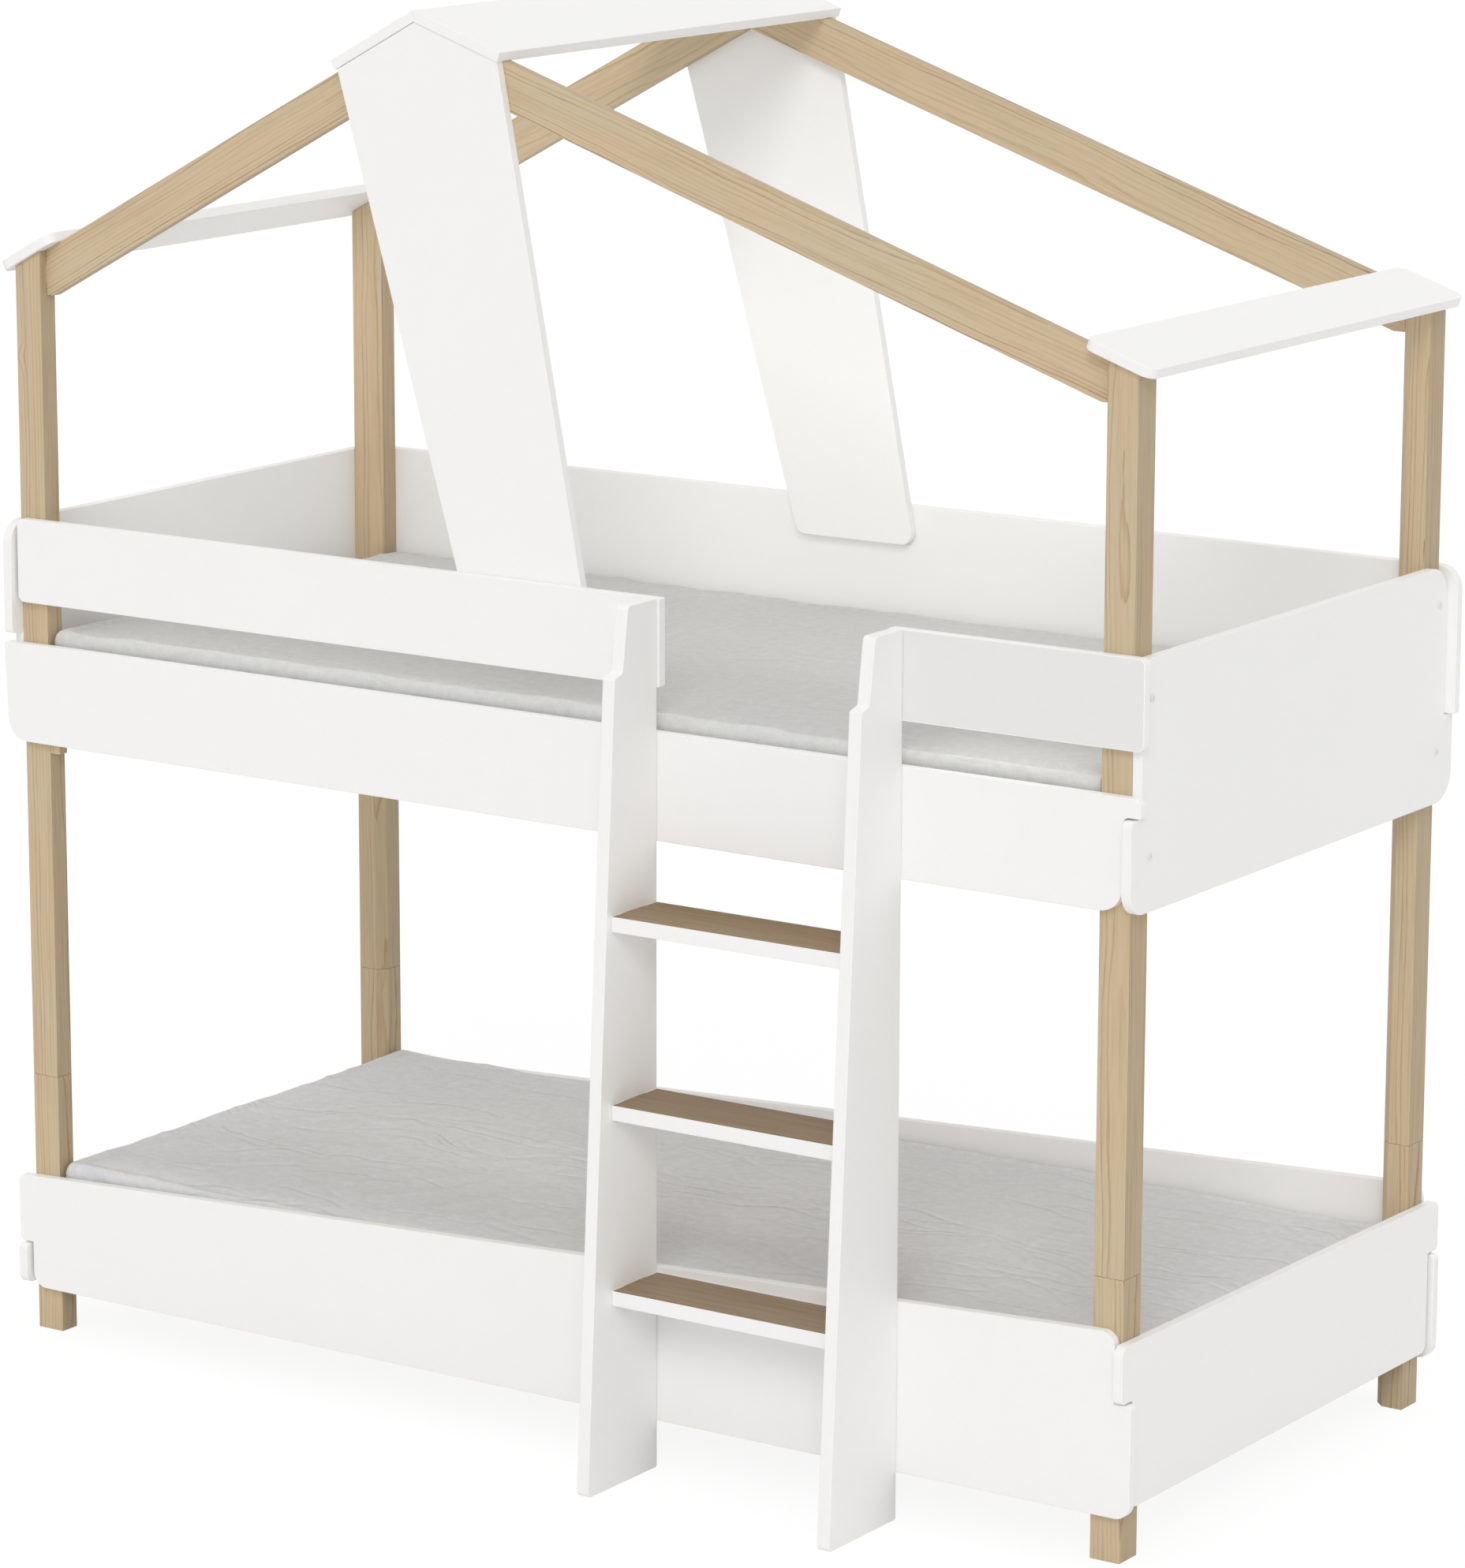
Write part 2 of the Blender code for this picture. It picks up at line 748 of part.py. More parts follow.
def lower_end_panel_left():
    """Its lower part passes the two side rails."""
    step = lower_left_crossing_height - crossing_clearance / 2
    top = lower_left_panel_bottom + lower_left_panel_height
    front, back = -tongue_reach, bed_width + tongue_reach
    corners = [
        (front, lower_left_panel_bottom, lower_panel_corner),
        (back, lower_left_panel_bottom, lower_panel_corner),
        (back, step - back_crossing_drop, crossing_fillet),
        (bed_width - butt_setback, step - back_crossing_drop, 0),
        (bed_width - butt_setback, top, lower_panel_corner),
        (butt_setback, top, lower_panel_corner),
        (butt_setback, step, 0),
        (front, step, crossing_fillet),
    ]
    end_board("lower_end_panel_left", corners, -gap - board_thickness, board_thickness, white_lacquer)


# Bases and mattresses


def slatted_base(name, top):
    """Slats across the bed on two straps, loose on the ledgers."""
    low = top - slat_thickness
    mesh = bpy.data.meshes.new(name)
    bm = bmesh.new()
    span = clear_right - clear_left - slat_width
    for index in range(slat_count):
        left = clear_left + span * index / (slat_count - 1)
        slat = bmesh.ops.create_cube(bm, size=1)["verts"]
        length = bed_width - 2 * slat_end_clearance
        bmesh.ops.scale(bm, vec=(slat_width, length, slat_thickness), verts=slat)
        bmesh.ops.translate(bm, vec=(left + slat_width / 2, bed_width / 2, low + slat_thickness / 2), verts=slat)
    bm.to_mesh(mesh)
    bm.free()
    obj = bpy.data.objects.new(name, mesh)
    parts.objects.link(obj)
    place(obj, (0, 0, 0))
    finish(obj, base_wood)
    for index, share in enumerate(strap_place_shares):
        y = bed_width * share
        strap_name = f"{name}_strap_{index}"
        strap_mesh, middle = box_mesh(
            strap_name,
            (clear_left + slat_width / 2, y - strap_width / 2, low + strap_seat - strap_thickness),
            (clear_right - slat_width / 2, y + strap_width / 2, low + strap_seat),
        )
        strap = bpy.data.objects.new(strap_name, strap_mesh)
        cutters.objects.link(strap)
        place(strap, middle)
        hide_cutter(strap)
        combine(obj, strap, "UNION")


def ledger(name, y_front, base_top):
    """A batten on a side board's inner face, between the posts, that carries the slats' ends."""
    top = base_top - slat_thickness - gap
    box(
        name,
        (clear_left, y_front, top - ledger_height),
        (clear_right, y_front + ledger_width, top),
        base_wood,
    )


def corner_block():
    """A block under the front ledger's left end, against the post."""
    top = upper_base_top - slat_thickness - gap - ledger_height - gap
    box(
        "corner_block",
        (clear_left, 0, top - corner_block_height),
        (clear_left + corner_block_side, corner_block_side, top),
        base_wood,
    )


def mattress(name, base_top):
    """A block mattress: a coarse cage with a crown and drawn-in sides, subdivided once."""
    length = clear_right - clear_left - 2 * mattress_end_clearance
    width = bed_width - 2 * mattress_side_clearance
    bottom = base_top + gap
    mesh = bpy.data.meshes.new(name)
    bm = bmesh.new()
    bmesh.ops.create_cube(bm, size=1)
    bmesh.ops.scale(bm, vec=(length, width, mattress_thickness), verts=bm.verts)
    sides = (
        (Vector((1, 0, 0)), length, mattress_length_shares),
        (Vector((0, 1, 0)), width, mattress_width_shares),
        (Vector((0, 0, 1)), mattress_thickness, (1 / 2,)),
    )
    for direction, side, shares in sides:
        inner = side - 2 * mattress_rim
        places = [-inner / 2, inner / 2] + [inner * (share - 1 / 2) for share in shares]
        for place_along in places:
            geometry = bm.verts[:] + bm.edges[:] + bm.faces[:]
            bmesh.ops.bisect_plane(bm, geom=geometry, plane_co=direction * place_along, plane_no=direction)
    for vert in bm.verts:
        u, v, w = vert.co.x * 2 / length, vert.co.y * 2 / width, vert.co.z * 2 / mattress_thickness
        level = 1 - w * w
        vert.co.x -= mattress_side_draw * level * u**9
        vert.co.y -= mattress_side_draw * level * v**9
        vert.co.z += mattress_crown * max(0, w) * ((1 - u * u) * (1 - v * v) - 1)
    bm.to_mesh(mesh)
    bm.free()
    obj = bpy.data.objects.new(name, mesh)
    parts.objects.link(obj)
    place(obj, (bed_length / 2, bed_width / 2, bottom + mattress_thickness / 2))
    finish(obj, mattress_cloth)
    subdivision = obj.modifiers.new("Round", "SUBSURF")
    subdivision.levels = 1
    subdivision.render_levels = 1


# Ladder


def stile(name, x_left):
    """A stile with a wide foot, a sloping shoulder and a narrow head."""
    neck = stile_shoulder_height + stile_shoulder_rise
    corners = [
        (-stile_foot_reach, 0, stile_foot_corner),
        (stile_back, 0, stile_small_corner),
        (stile_back, guard_top, stile_small_corner),
        (-stile_head_reach, guard_top, stile_foot_corner),
        (-stile_neck_reach, neck, stile_small_corner),
        (-stile_shoulder_reach, stile_shoulder_height, stile_small_corner),
    ]
    return end_board(name, corners, x_left, stile_thickness, white_lacquer)


def tread(name, top, left_stile, right_stile):
    """A tread between the stiles, with a tab at each end in a housing of the stile."""
    front = -tread_front_reach
    back = stile_back - tread_back_clearance
    left, right = ladder_left + gap, ladder_right - gap
    middle_y = (front + back) / 2
    tab_front, tab_back = middle_y - tread_tab_width / 2, middle_y + tread_tab_width / 2
    low = top - tread_thickness
    corners = [
        (left, front, tread_corner),
        (right, front, tread_corner),
        (right, tab_front, 0),
        (right + tread_tab_length, tab_front, 0),
        (right + tread_tab_length, tab_back, 0),
        (right, tab_back, 0),
        (right, back, tread_corner),
        (left, back, tread_corner),
        (left, tab_back, 0),
        (left - tread_tab_length, tab_back, 0),
        (left - tread_tab_length, tab_front, 0),
        (left, tab_front, 0),
    ]
    slab(name, corners, tread_thickness, (0, 0, (low + top) / 2), (0, 0, 0), tread_wood)
    low_corner = (left - tread_tab_length - gap, tab_front - gap, low - gap)
    pocket(left_stile, low_corner, (left + overrun, tab_back + gap, top + gap))
    high_corner = (right + tread_tab_length + gap, tab_back + gap, top + gap)
    pocket(right_stile, (right - overrun, tab_front - gap, low - gap), high_corner)


# Bolts


def bolt(name, seat, rotation, shank_length, look):
    """A domed bolt whose head rests at the seat, its shank along local -Z."""
    head = bolt_head_diameter / 2
    dome = [
        (head * math.sin(angle), bolt_head_height * math.cos(angle))
        for angle in (math.pi / 2 * step / bolt_dome_points for step in range(bolt_dome_points + 1))
    ]
    shank = bolt_shank_diameter / 2
    profile = dome + [(shank, 0), (shank, -shank_length), (0, -shank_length)]
    turned(name, profile, seat, rotation, look)


def panel_bolts(panels, uppers):
    """Two bolts in each upper post, through the end panel on its centre line."""
    length = gap + board_thickness + gap + panel_bolt_grip
    high = upper_panel_bottom + upper_panel_height - panel_bolt_top_inset
    low = upper_panel_bottom + panel_bolt_bottom_inset
    for end, sign, face in (("left", -1, 0), ("right", 1, bed_length)):
        for side in ("front", "back"):
            upper = uppers[f"{side}_{end}"]
            y = upper.location.y
            for level, z in (("high", high), ("low", low)):
                seat_x = face + sign * (gap + board_thickness + gap)
                turn = (0, sign * math.pi / 2, 0)
                name = f"panel_bolt_{side}_{end}_{level}"
                bolt(name, (seat_x, y, z), turn, length, bolt_paint)
                tip_x = seat_x - sign * (length + gap)
                start_x = seat_x + sign * overrun
                middle = ((tip_x + start_x) / 2, y, z)
                for piece in (panels[end], upper):
                    drill(piece, middle, "X", bolt_shank_diameter, abs(start_x - tip_x))


def ladder_bolts(stiles, guard_boards, rail):
    """Two bolts a stile, from inside the bed through the guard and the rail into the stile."""
    length = gap + board_thickness + gap + ladder_bolt_grip
    high = guard_bottom + guard_height * ladder_guard_bolt_share
    low = upper_rail_top - ladder_rail_bolt_drop
    seat_y = front_face + gap
    for end, side_stile, guard_board in zip(("left", "right"), stiles, guard_boards):
        x = side_stile.location.x
        for level, z, board in (("high", high, guard_board), ("low", low, rail)):
            bolt(f"ladder_bolt_{end}_{level}", (x, seat_y, z), (-math.pi / 2, 0, 0), length, bolt_steel)
            tip_y, start_y = seat_y - length - gap, seat_y + overrun
            middle = (x, (tip_y + start_y) / 2, z)
            for piece in (board, side_stile):
                drill(piece, middle, "Y", bolt_shank_diameter, start_y - tip_y)


# The whole bed


def build():
    uppers = corner_posts()
    roof(uppers)
    rail = upper_front_rail()
    guard_boards = guards()
    upper_back_panel()
    panels = {"left": upper_end_panel_left(), "right": upper_end_panel_right()}
    lower_side_rail("lower_front_rail", front_face - board_thickness, 0)
    lower_side_rail("lower_back_rail", back_face, back_crossing_drop)
    lower_end_panel_left()
    lower_end_panel_right()
    for level, base_top in (("upper", upper_base_top), ("lower", lower_base_top)):
        slatted_base(f"slatted_base_{level}", base_top)
        ledger(f"slat_ledger_{level}_front", 0, base_top)
        ledger(f"slat_ledger_{level}_back", bed_width - ledger_width, base_top)
        mattress(f"mattress_{level}", base_top)
    corner_block()
    stiles = (
        stile("ladder_stile_left", ladder_left - stile_thickness),
        stile("ladder_stile_right", ladder_right),
    )
    for number, share in enumerate(tread_height_shares, start=1):
        tread(f"ladder_tread_{number}", upper_rail_top * share, *stiles)
    panel_bolts(panels, uppers)
    ladder_bolts(stiles, guard_boards, rail)


build()
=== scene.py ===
"""Bunk bed with a house roof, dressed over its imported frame.

Metres, +Z up, the origin on the floor under the middle of the whole bed. Sizes are measured from
the outer front corner of the front left post, X along the bed and Y to the back, and every mesh
is moved from that corner to its place when it is made.
"""

import logging
import math
from collections.abc import Callable, Sequence
from dataclasses import dataclass, field, replace
from enum import Enum

import bpy
import numpy as np
from mathutils import Euler, Matrix, Vector


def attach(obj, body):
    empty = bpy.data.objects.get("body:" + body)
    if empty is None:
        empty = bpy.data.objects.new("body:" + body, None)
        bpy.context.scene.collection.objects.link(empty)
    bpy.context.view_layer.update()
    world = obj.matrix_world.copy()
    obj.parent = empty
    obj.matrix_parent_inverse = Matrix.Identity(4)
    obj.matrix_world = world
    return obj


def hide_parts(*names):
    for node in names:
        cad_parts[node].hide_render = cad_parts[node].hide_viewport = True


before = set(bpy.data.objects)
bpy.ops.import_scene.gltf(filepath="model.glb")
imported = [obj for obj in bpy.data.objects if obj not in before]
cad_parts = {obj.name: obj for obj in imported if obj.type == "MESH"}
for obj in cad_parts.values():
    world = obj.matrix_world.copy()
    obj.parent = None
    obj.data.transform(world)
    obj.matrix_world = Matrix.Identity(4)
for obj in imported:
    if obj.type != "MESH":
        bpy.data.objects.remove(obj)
log = logging.getLogger("bunk_bed")

Corner = tuple[float, float, float]
Colour = tuple[float, float, float]
Direction = tuple[float, float, float]
Array = np.ndarray


# Options and sizes that several sub-assemblies share


class Option(Enum):
    """A choice whose name, in small letters, is part of the pieces' names."""

    def __str__(self) -> str:
        """The name as it stands in a piece's name."""
        return self.name.lower()


class End(Option):
    """An end of the bed, with the way out of it along the bed."""

    LEFT = -1
    RIGHT = 1


class Side(Option):
    """A side of the bed, with the way out of it across the bed."""

    FRONT = -1
    BACK = 1


class Level(Option):
    """One of the two beds, with the height of its slats' tops."""

    UPPER = 1.057
    LOWER = 0.153


class Grain(Enum):
    """The direction that wood fibres run in."""

    LENGTH = (1.0, 0.0, 0.0)
    WIDTH = (0.0, 1.0, 0.0)
    HEIGHT = (0.0, 0.0, 1.0)


@dataclass(frozen=True)
class BedSizes:
    """The bed's main sizes, measured from the outer front corner of the front left post."""

    length: float = 2.100
    width: float = 0.946
    board: float = 0.016
    gap: float = 0.0003
    post: float = 0.0515
    eaves: float = 1.791
    ridge: float = 2.226
    ridge_x: float = 0.812007
    tongue: float = 0.028
    clearance: float = 0.003
    fillet: float = 0.009
    tongue_corner: float = 0.003
    setback: float = 0.0045
    back_drop: float = 0.004
    guard_bottom: float = 1.242
    guard_top: float = 1.380
    slat: float = 0.018
    stile_reach: float = 0.204
    ladder_x: float = 1.484259
    ladder_clear: float = 0.4199
    stile: float = 0.022

    @property
    def corner(self) -> Array:
        """Place of the measuring corner in the frame."""
        return np.array((-self.length / 2, -(self.width + self.tongue - self.stile_reach) / 2, 0.0))

    @property
    def outside(self) -> float:
        """Outer face of a board that lies against the posts' front or left faces."""
        return -self.gap - self.board

    @property
    def clear_left(self) -> float:
        """First free place right of the left posts."""
        return self.post + self.gap

    @property
    def clear_right(self) -> float:
        """Last free place left of the right posts."""
        return self.length - self.post - self.gap

    def stile_inside(self, end: End) -> float:
        """Place of a stile's inner face along the bed."""
        return self.ladder_x + end.value * self.ladder_clear / 2

    def post_middle(self, end: End, side: Side) -> tuple[float, float]:
        """Where a post's middle stands."""
        half = self.post / 2
        return (
            half if end is End.LEFT else self.length - half,
            half if side is Side.FRONT else self.width - half,
        )

    def slope(self, end: End) -> float:
        """Rise of a roof slope for each metre along the bed, towards the ridge."""
        run = self.ridge_x if end is End.LEFT else self.length - self.ridge_x
        return (self.ridge - self.eaves) / run

    def roof(self, x: float | Array, end: End) -> float | Array:
        """Height of a slope's plane at a place along the bed."""
        return self.eaves + self.slope(end) * (x if end is End.LEFT else self.length - x)


BED = BedSizes()


# Shapes

ARC_STEP = math.radians(7.5)
ARC_SHARE = 0.98
FLAT_BY_ARC = 0.002
SAME_PLACE = 2e-5
ARRIS_STEPS = 5
FLAT_BY_ARRIS = 0.4
LATTICE = 64


class Facing(Enum):
    """Which way a flat piece faces: the two axes of its outline, then that of its thickness."""

    ALONG = ((1.0, 0.0, 0.0), (0.0, 0.0, 1.0), (0.0, -1.0, 0.0))
    ACROSS = ((0.0, 1.0, 0.0), (0.0, 0.0, 1.0), (1.0, 0.0, 0.0))
    FLAT = ((1.0, 0.0, 0.0), (0.0, 1.0, 0.0), (0.0, 0.0, 1.0))

    @property
    def axes(self) -> Array:
        """The three axes as the rows of a matrix."""
        return np.array(self.value)


@dataclass
class Surface:
    """Points and faces of a closed surface, and for each face if it is smooth and its part."""

    points: Array
    faces: list[list[int]]
    smooth: Array
    part: Array

    @classmethod
    def soft(cls, points: Array, faces: list[list[int]]) -> "Surface":
        """A surface in one part that is smooth all over."""
        return cls(points, faces, np.ones(len(faces), bool), np.zeros(len(faces), int))

    @classmethod
    def joined(cls, surfaces: Sequence["Surface"]) -> "Surface":
        """Several surfaces that don't touch, as one whose faces count on from piece to piece.

        Args:
            surfaces: The surfaces.

        Returns:
            The one surface.
        """
        starts = np.cumsum([0] + [len(one.points) for one in surfaces]).tolist()
        faces = [
            [index + start for index in face]
            for one, start in zip(surfaces, starts)
            for face in one.faces
        ]
        return cls(
            np.concatenate([one.points for one in surfaces]),
            faces,
            np.concatenate([one.smooth for one in surfaces]),
            np.concatenate([one.part for one in surfaces]),
        )

    def with_part(self, part: int) -> "Surface":
        """The same surface with all its faces in one part."""
        return replace(self, part=np.full(len(self.faces), part))

    def placed(self, middle: Sequence[float], axes: Array) -> "Surface":
        """The surface with its own axes turned to the given ones and its origin at a place."""
        return replace(self, points=self.points @ axes + np.array(middle))


def rounded_outline(corners: Sequence[Corner], least: float) -> Array:
    """Points of a closed outline, anticlockwise, with an arc at each corner.

    Formula: an arc touches both edges at radius times tan(half the turn) from the corner, held to
    half of the shorter edge. A point a little way along each edge keeps long edges' shading flat.

    Args:
        corners: (u, v, radius) of each corner.
        least: Smallest radius of any corner.

    Returns:
        The points, one a row.
    """
    places = np.array([corner[:2] for corner in corners])
    radii = np.maximum([corner[2] for corner in corners], least)
    ahead = np.roll(places, -1, axis=0)
    if np.sum(places[:, 0] * ahead[:, 1] - places[:, 1] * ahead[:, 0]) < 0:
        places, radii = places[::-1], radii[::-1]
    arcs = []
    neighbours = (np.roll(places, 1, axis=0), np.roll(places, -1, axis=0))
    for here, radius, last, coming in zip(places, radii, *neighbours):
        back, forth = last - here, coming - here
        back_length, forth_length = np.linalg.norm(back), np.linalg.norm(forth)
        back, forth = back / back_length, forth / forth_length
        turn = math.pi - math.acos(float(np.clip(back @ forth, -1, 1)))
        room = min(back_length, forth_length) / 2
        setback = min(radius * math.tan(turn / 2), room * ARC_SHARE)
        radius = setback / math.tan(turn / 2)
        halfway = (back + forth) / np.linalg.norm(back + forth)
        middle = here + halfway * radius / math.cos(turn / 2)
        start, end = here + back * setback - middle, here + forth * setback - middle
        sweep = math.atan2(start[0] * end[1] - start[1] * end[0], start @ end)
        angles = np.linspace(0, sweep, max(3, math.ceil(turn / ARC_STEP) + 1))[:, None]
        turned_start = np.stack((-start[1], start[0]))
        arc = middle + np.cos(angles) * start + np.sin(angles) * turned_start
        reach = setback + min(FLAT_BY_ARC, (room - setback) * 0.5)
        arcs += [[here + back * reach], arc, [here + forth * reach]]
    points = np.concatenate(arcs)
    apart = np.linalg.norm(points - np.roll(points, 1, axis=0), axis=1) > SAME_PLACE
    return points[apart]


def slab(
    corners: Sequence[Corner], thickness: float, arris: float = 0.0012, least: float = 0.002
) -> Surface:
    """A flat piece in its own axes: the outline in the first two, half the thickness each way.

    Formula: a rim profile, made of a quarter arc at each face with a short flat beside it, is
    carried round the outline, each of its points moved inwards along the outline's mitres.

    Args:
        corners: (u, v, radius) of each corner of the outline.
        thickness: Thickness of the piece.
        arris: Radius of the softened arris.
        least: Smallest radius of a corner.

    Returns:
        The surface, with the rim as part 0, the low face as part 1 and the high face as part 2.
    """
    outline = rounded_outline(corners, least)
    edges = np.roll(outline, -1, axis=0) - outline
    inward = np.stack((-edges[:, 1], edges[:, 0]), axis=1)
    inward /= np.linalg.norm(edges, axis=1)[:, None]
    before = np.roll(inward, 1, axis=0)
    mitre = (before + inward) / (1 + np.sum(before * inward, axis=1))[:, None]
    angles = np.linspace(0, math.pi / 2, ARRIS_STEPS + 1)
    rim = arris + arris * FLAT_BY_ARRIS
    inset = np.concatenate(([rim], arris * (1 - np.sin(angles)), [0.0]))
    height = np.concatenate(([0.0], arris * (1 - np.cos(angles)), [rim]))
    inset = np.concatenate((inset, inset[::-1]))
    height = np.concatenate((height, (thickness - height)[::-1])) - thickness / 2
    flat = outline[None] + inset[:, None, None] * mitre[None]
    levels = np.broadcast_to(height[:, None, None], (*flat.shape[:2], 1))
    points = np.concatenate((flat, levels), axis=2)
    index = np.arange(points[..., 0].size).reshape(points.shape[:2])
    ahead = np.roll(index, -1, axis=1)
    quads = np.stack((index[:-1], ahead[:-1], ahead[1:], index[1:]), axis=-1).reshape(-1, 4)
    faces = quads.tolist() + [index[0, ::-1].tolist(), index[-1].tolist()]
    surface = Surface.soft(points.reshape(-1, 3), faces)
    surface.smooth[-2:] = False
    surface.part[-2:] = (1, 2)
    return surface


def turned(rings: Array, sides: int, shape: Callable[[Array], Array], shaped: int) -> Surface:
    """A turned solid about its own third axis.

    Formula: each (radius, height) ring is a circle of that radius at that height; the first rings
    take their radius times a function of the angle, such as a hexagon's. A point closes each end.

    Args:
        rings: (radius, height) rows from the top down.
        sides: Points in a circle.
        shape: What the radius is multiplied by at each angle.
        shaped: How many of the first rings take that shape.

    Returns:
        The surface.
    """
    angles = np.arange(sides) * 2 * math.pi / sides
    scale = np.ones((len(rings), sides))
    scale[:shaped] = shape(angles)
    radius = rings[:, :1] * scale
    levels = np.broadcast_to(rings[:, 1:], radius.shape)
    points = np.stack((radius * np.cos(angles), radius * np.sin(angles), levels), axis=-1)
    points = points.reshape(-1, 3)
    ends = np.array(((0.0, 0.0, rings[0, 1]), (0.0, 0.0, rings[-1, 1])))
    index = np.arange(len(points)).reshape(len(rings), sides)
    ahead = np.roll(index, -1, axis=1)
    quads = np.stack((index[:-1], index[1:], ahead[1:], ahead[:-1]), axis=-1).reshape(-1, 4)
    top = np.stack((np.full(sides, len(points)), index[0], ahead[0]), axis=-1)
    bottom = np.stack((np.full(sides, len(points) + 1), ahead[-1], index[-1]), axis=-1)
    faces = quads.tolist() + top.tolist() + bottom.tolist()
    return Surface.soft(np.concatenate((points, ends)), faces)


def noise_field(seed: int) -> Callable[[Array, Array], Array]:
    """A smooth random height field from 0 to 1.

    Formula: a repeating lattice of random values, blended between its points by a cubic step.

    Args:
        seed: Number that the lattice's values come from.

    Returns:
        A function of two arrays of coordinates, whose lattice has a spacing of 1.
    """
    lattice = np.random.default_rng(seed).random((LATTICE, LATTICE))

    def value(u: Array, v: Array) -> Array:
        """Height at each pair of coordinates.

        Args:
            u: First coordinates.
            v: Second coordinates.

        Returns:
            The heights.
        """
        left, low = np.floor(u).astype(int), np.floor(v).astype(int)
        share_u, share_v = u - left, v - low
        share_u, share_v = share_u**2 * (3 - 2 * share_u), share_v**2 * (3 - 2 * share_v)
        right, high = (left + 1) % LATTICE, (low + 1) % LATTICE
        left, low = left % LATTICE, low % LATTICE
        bottom = lattice[left, low] * (1 - share_u) + lattice[right, low] * share_u
        top = lattice[left, high] * (1 - share_u) + lattice[right, high] * share_u
        return bottom * (1 - share_v) + top * share_v

    return value


def rectangle(
    u: tuple[float, float], v: tuple[float, float], left: float, right: float | None = None
) -> list[Corner]:
    """A rectangle's outline.

    Args:
        u: Its two ends along the first axis.
        v: Its two ends along the second axis.
        left: Radius of the corners at the first end.
        right: Radius of the others, if it isn't the same.

    Returns:
        Its corners, anticlockwise from the lower left.
    """
    right = left if right is None else right
    return [(u[0], v[0], left), (u[1], v[0], right), (u[1], v[1], right), (u[0], v[1], left)]


def crossing_board(
    low: tuple[Corner, Corner],
    high: tuple[Corner, Corner],
    right: tuple[float, float, float],
    left: tuple[float, float, float] | None = None,
) -> list[Corner]:
    """The outline of a board whose upper part ends elsewhere than its lower part.

    Args:
        low: The lower left and lower right corners.
        high: The upper left and upper right corners.
        right: Height of the step at the right end, and its radii below and above.
        left: The same for the left end, if that has a step.

    Returns:
        The corners, anticlockwise from the lower left.
    """
    corners = [*low, (low[1][0], *right[:2]), (high[1][0], right[0], right[2]), high[1], high[0]]
    if left:
        corners += [(high[0][0], left[0], left[2]), (low[0][0], *left[:2])]
    return corners


def side_board(
    corners: Sequence[Corner], y_front: float, thickness: float = BED.board, **shape: float
) -> Surface:
    """A board upright along the bed, from a place to the back.

    Args:
        corners: (x, z, radius) of each corner.
        y_front: Place of the front face.
        thickness: Its thickness.
        shape: Other sizes of the slab.

    Returns:
        The surface.
    """
    surface = slab(corners, thickness, **shape)
    return surface.placed((0, y_front + thickness / 2, 0), Facing.ALONG.axes)


def end_board(
    corners: Sequence[Corner], x_left: float, thickness: float = BED.board, **shape: float
) -> Surface:
    """A board upright across the bed, from a place to the right.

    Args:
        corners: (y, z, radius) of each corner.
        x_left: Place of the left face.
        thickness: Its thickness.
        shape: Other sizes of the slab.

    Returns:
        The surface.
    """
    surface = slab(corners, thickness, **shape)
    return surface.placed((x_left + thickness / 2, 0, 0), Facing.ACROSS.axes)


def flat_board(
    low: Sequence[float], high: Sequence[float], corner: float = 0.002, arris: float = 0.0012
) -> Surface:
    """A block between two opposite corners, its outline seen from above, in one part.

    Args:
        low: Its lowest corner.
        high: Its highest corner.
        corner: Radius of its upright corners.
        arris: Radius of its softened arrises.

    Returns:
        The surface.
    """
    outline = rectangle((low[0], high[0]), (low[1], high[1]), corner)
    surface = slab(outline, high[2] - low[2], arris=arris, least=min(corner, 0.002)).with_part(0)
    return surface.placed((0, 0, (low[2] + high[2]) / 2), Facing.FLAT.axes)


# Finishes


@dataclass(frozen=True)
class Value:
    """What a node gives: a number, a vector or a colour, to be used in a formula."""

    recipe: "Recipe"
    socket: bpy.types.NodeSocket

    def apply(self, operation: str, *others: object) -> "Value":
        """The result of a Math node, or of a Vector Math node where this isn't a number.

        Args:
            operation: The node's operation.
            others: The other inputs, each a value or plain numbers.

        Returns:
            The result, which is a number for a vector's LENGTH.
        """
        kind = "Math" if self.socket.type == "VALUE" else "VectorMath"
        inputs = dict(enumerate((self, *others)))
        return self.recipe.value(kind, int(operation == "LENGTH"), inputs, operation=operation)

    def __add__(self, other: object) -> "Value":
        """The sum."""
        return self.apply("ADD", other)

    def __sub__(self, other: object) -> "Value":
        """The difference."""
        return self.apply("SUBTRACT", other)

    def __mul__(self, other: object) -> "Value":
        """The product, of vectors number by number."""
        return self.apply("MULTIPLY", other)

    def __truediv__(self, other: object) -> "Value":
        """The quotient."""
        return self.apply("DIVIDE", other)

    def spread(self, low: float, high: float, to_low: float = 0.0, to_high: float = 1.0) -> "Value":
        """The number moved smoothly from one range to another, held at its ends."""
        inputs = {0: self, 1: low, 2: high, 3: to_low, 4: to_high}
        return self.recipe.value("MapRange", 0, inputs, interpolation_type="SMOOTHSTEP")


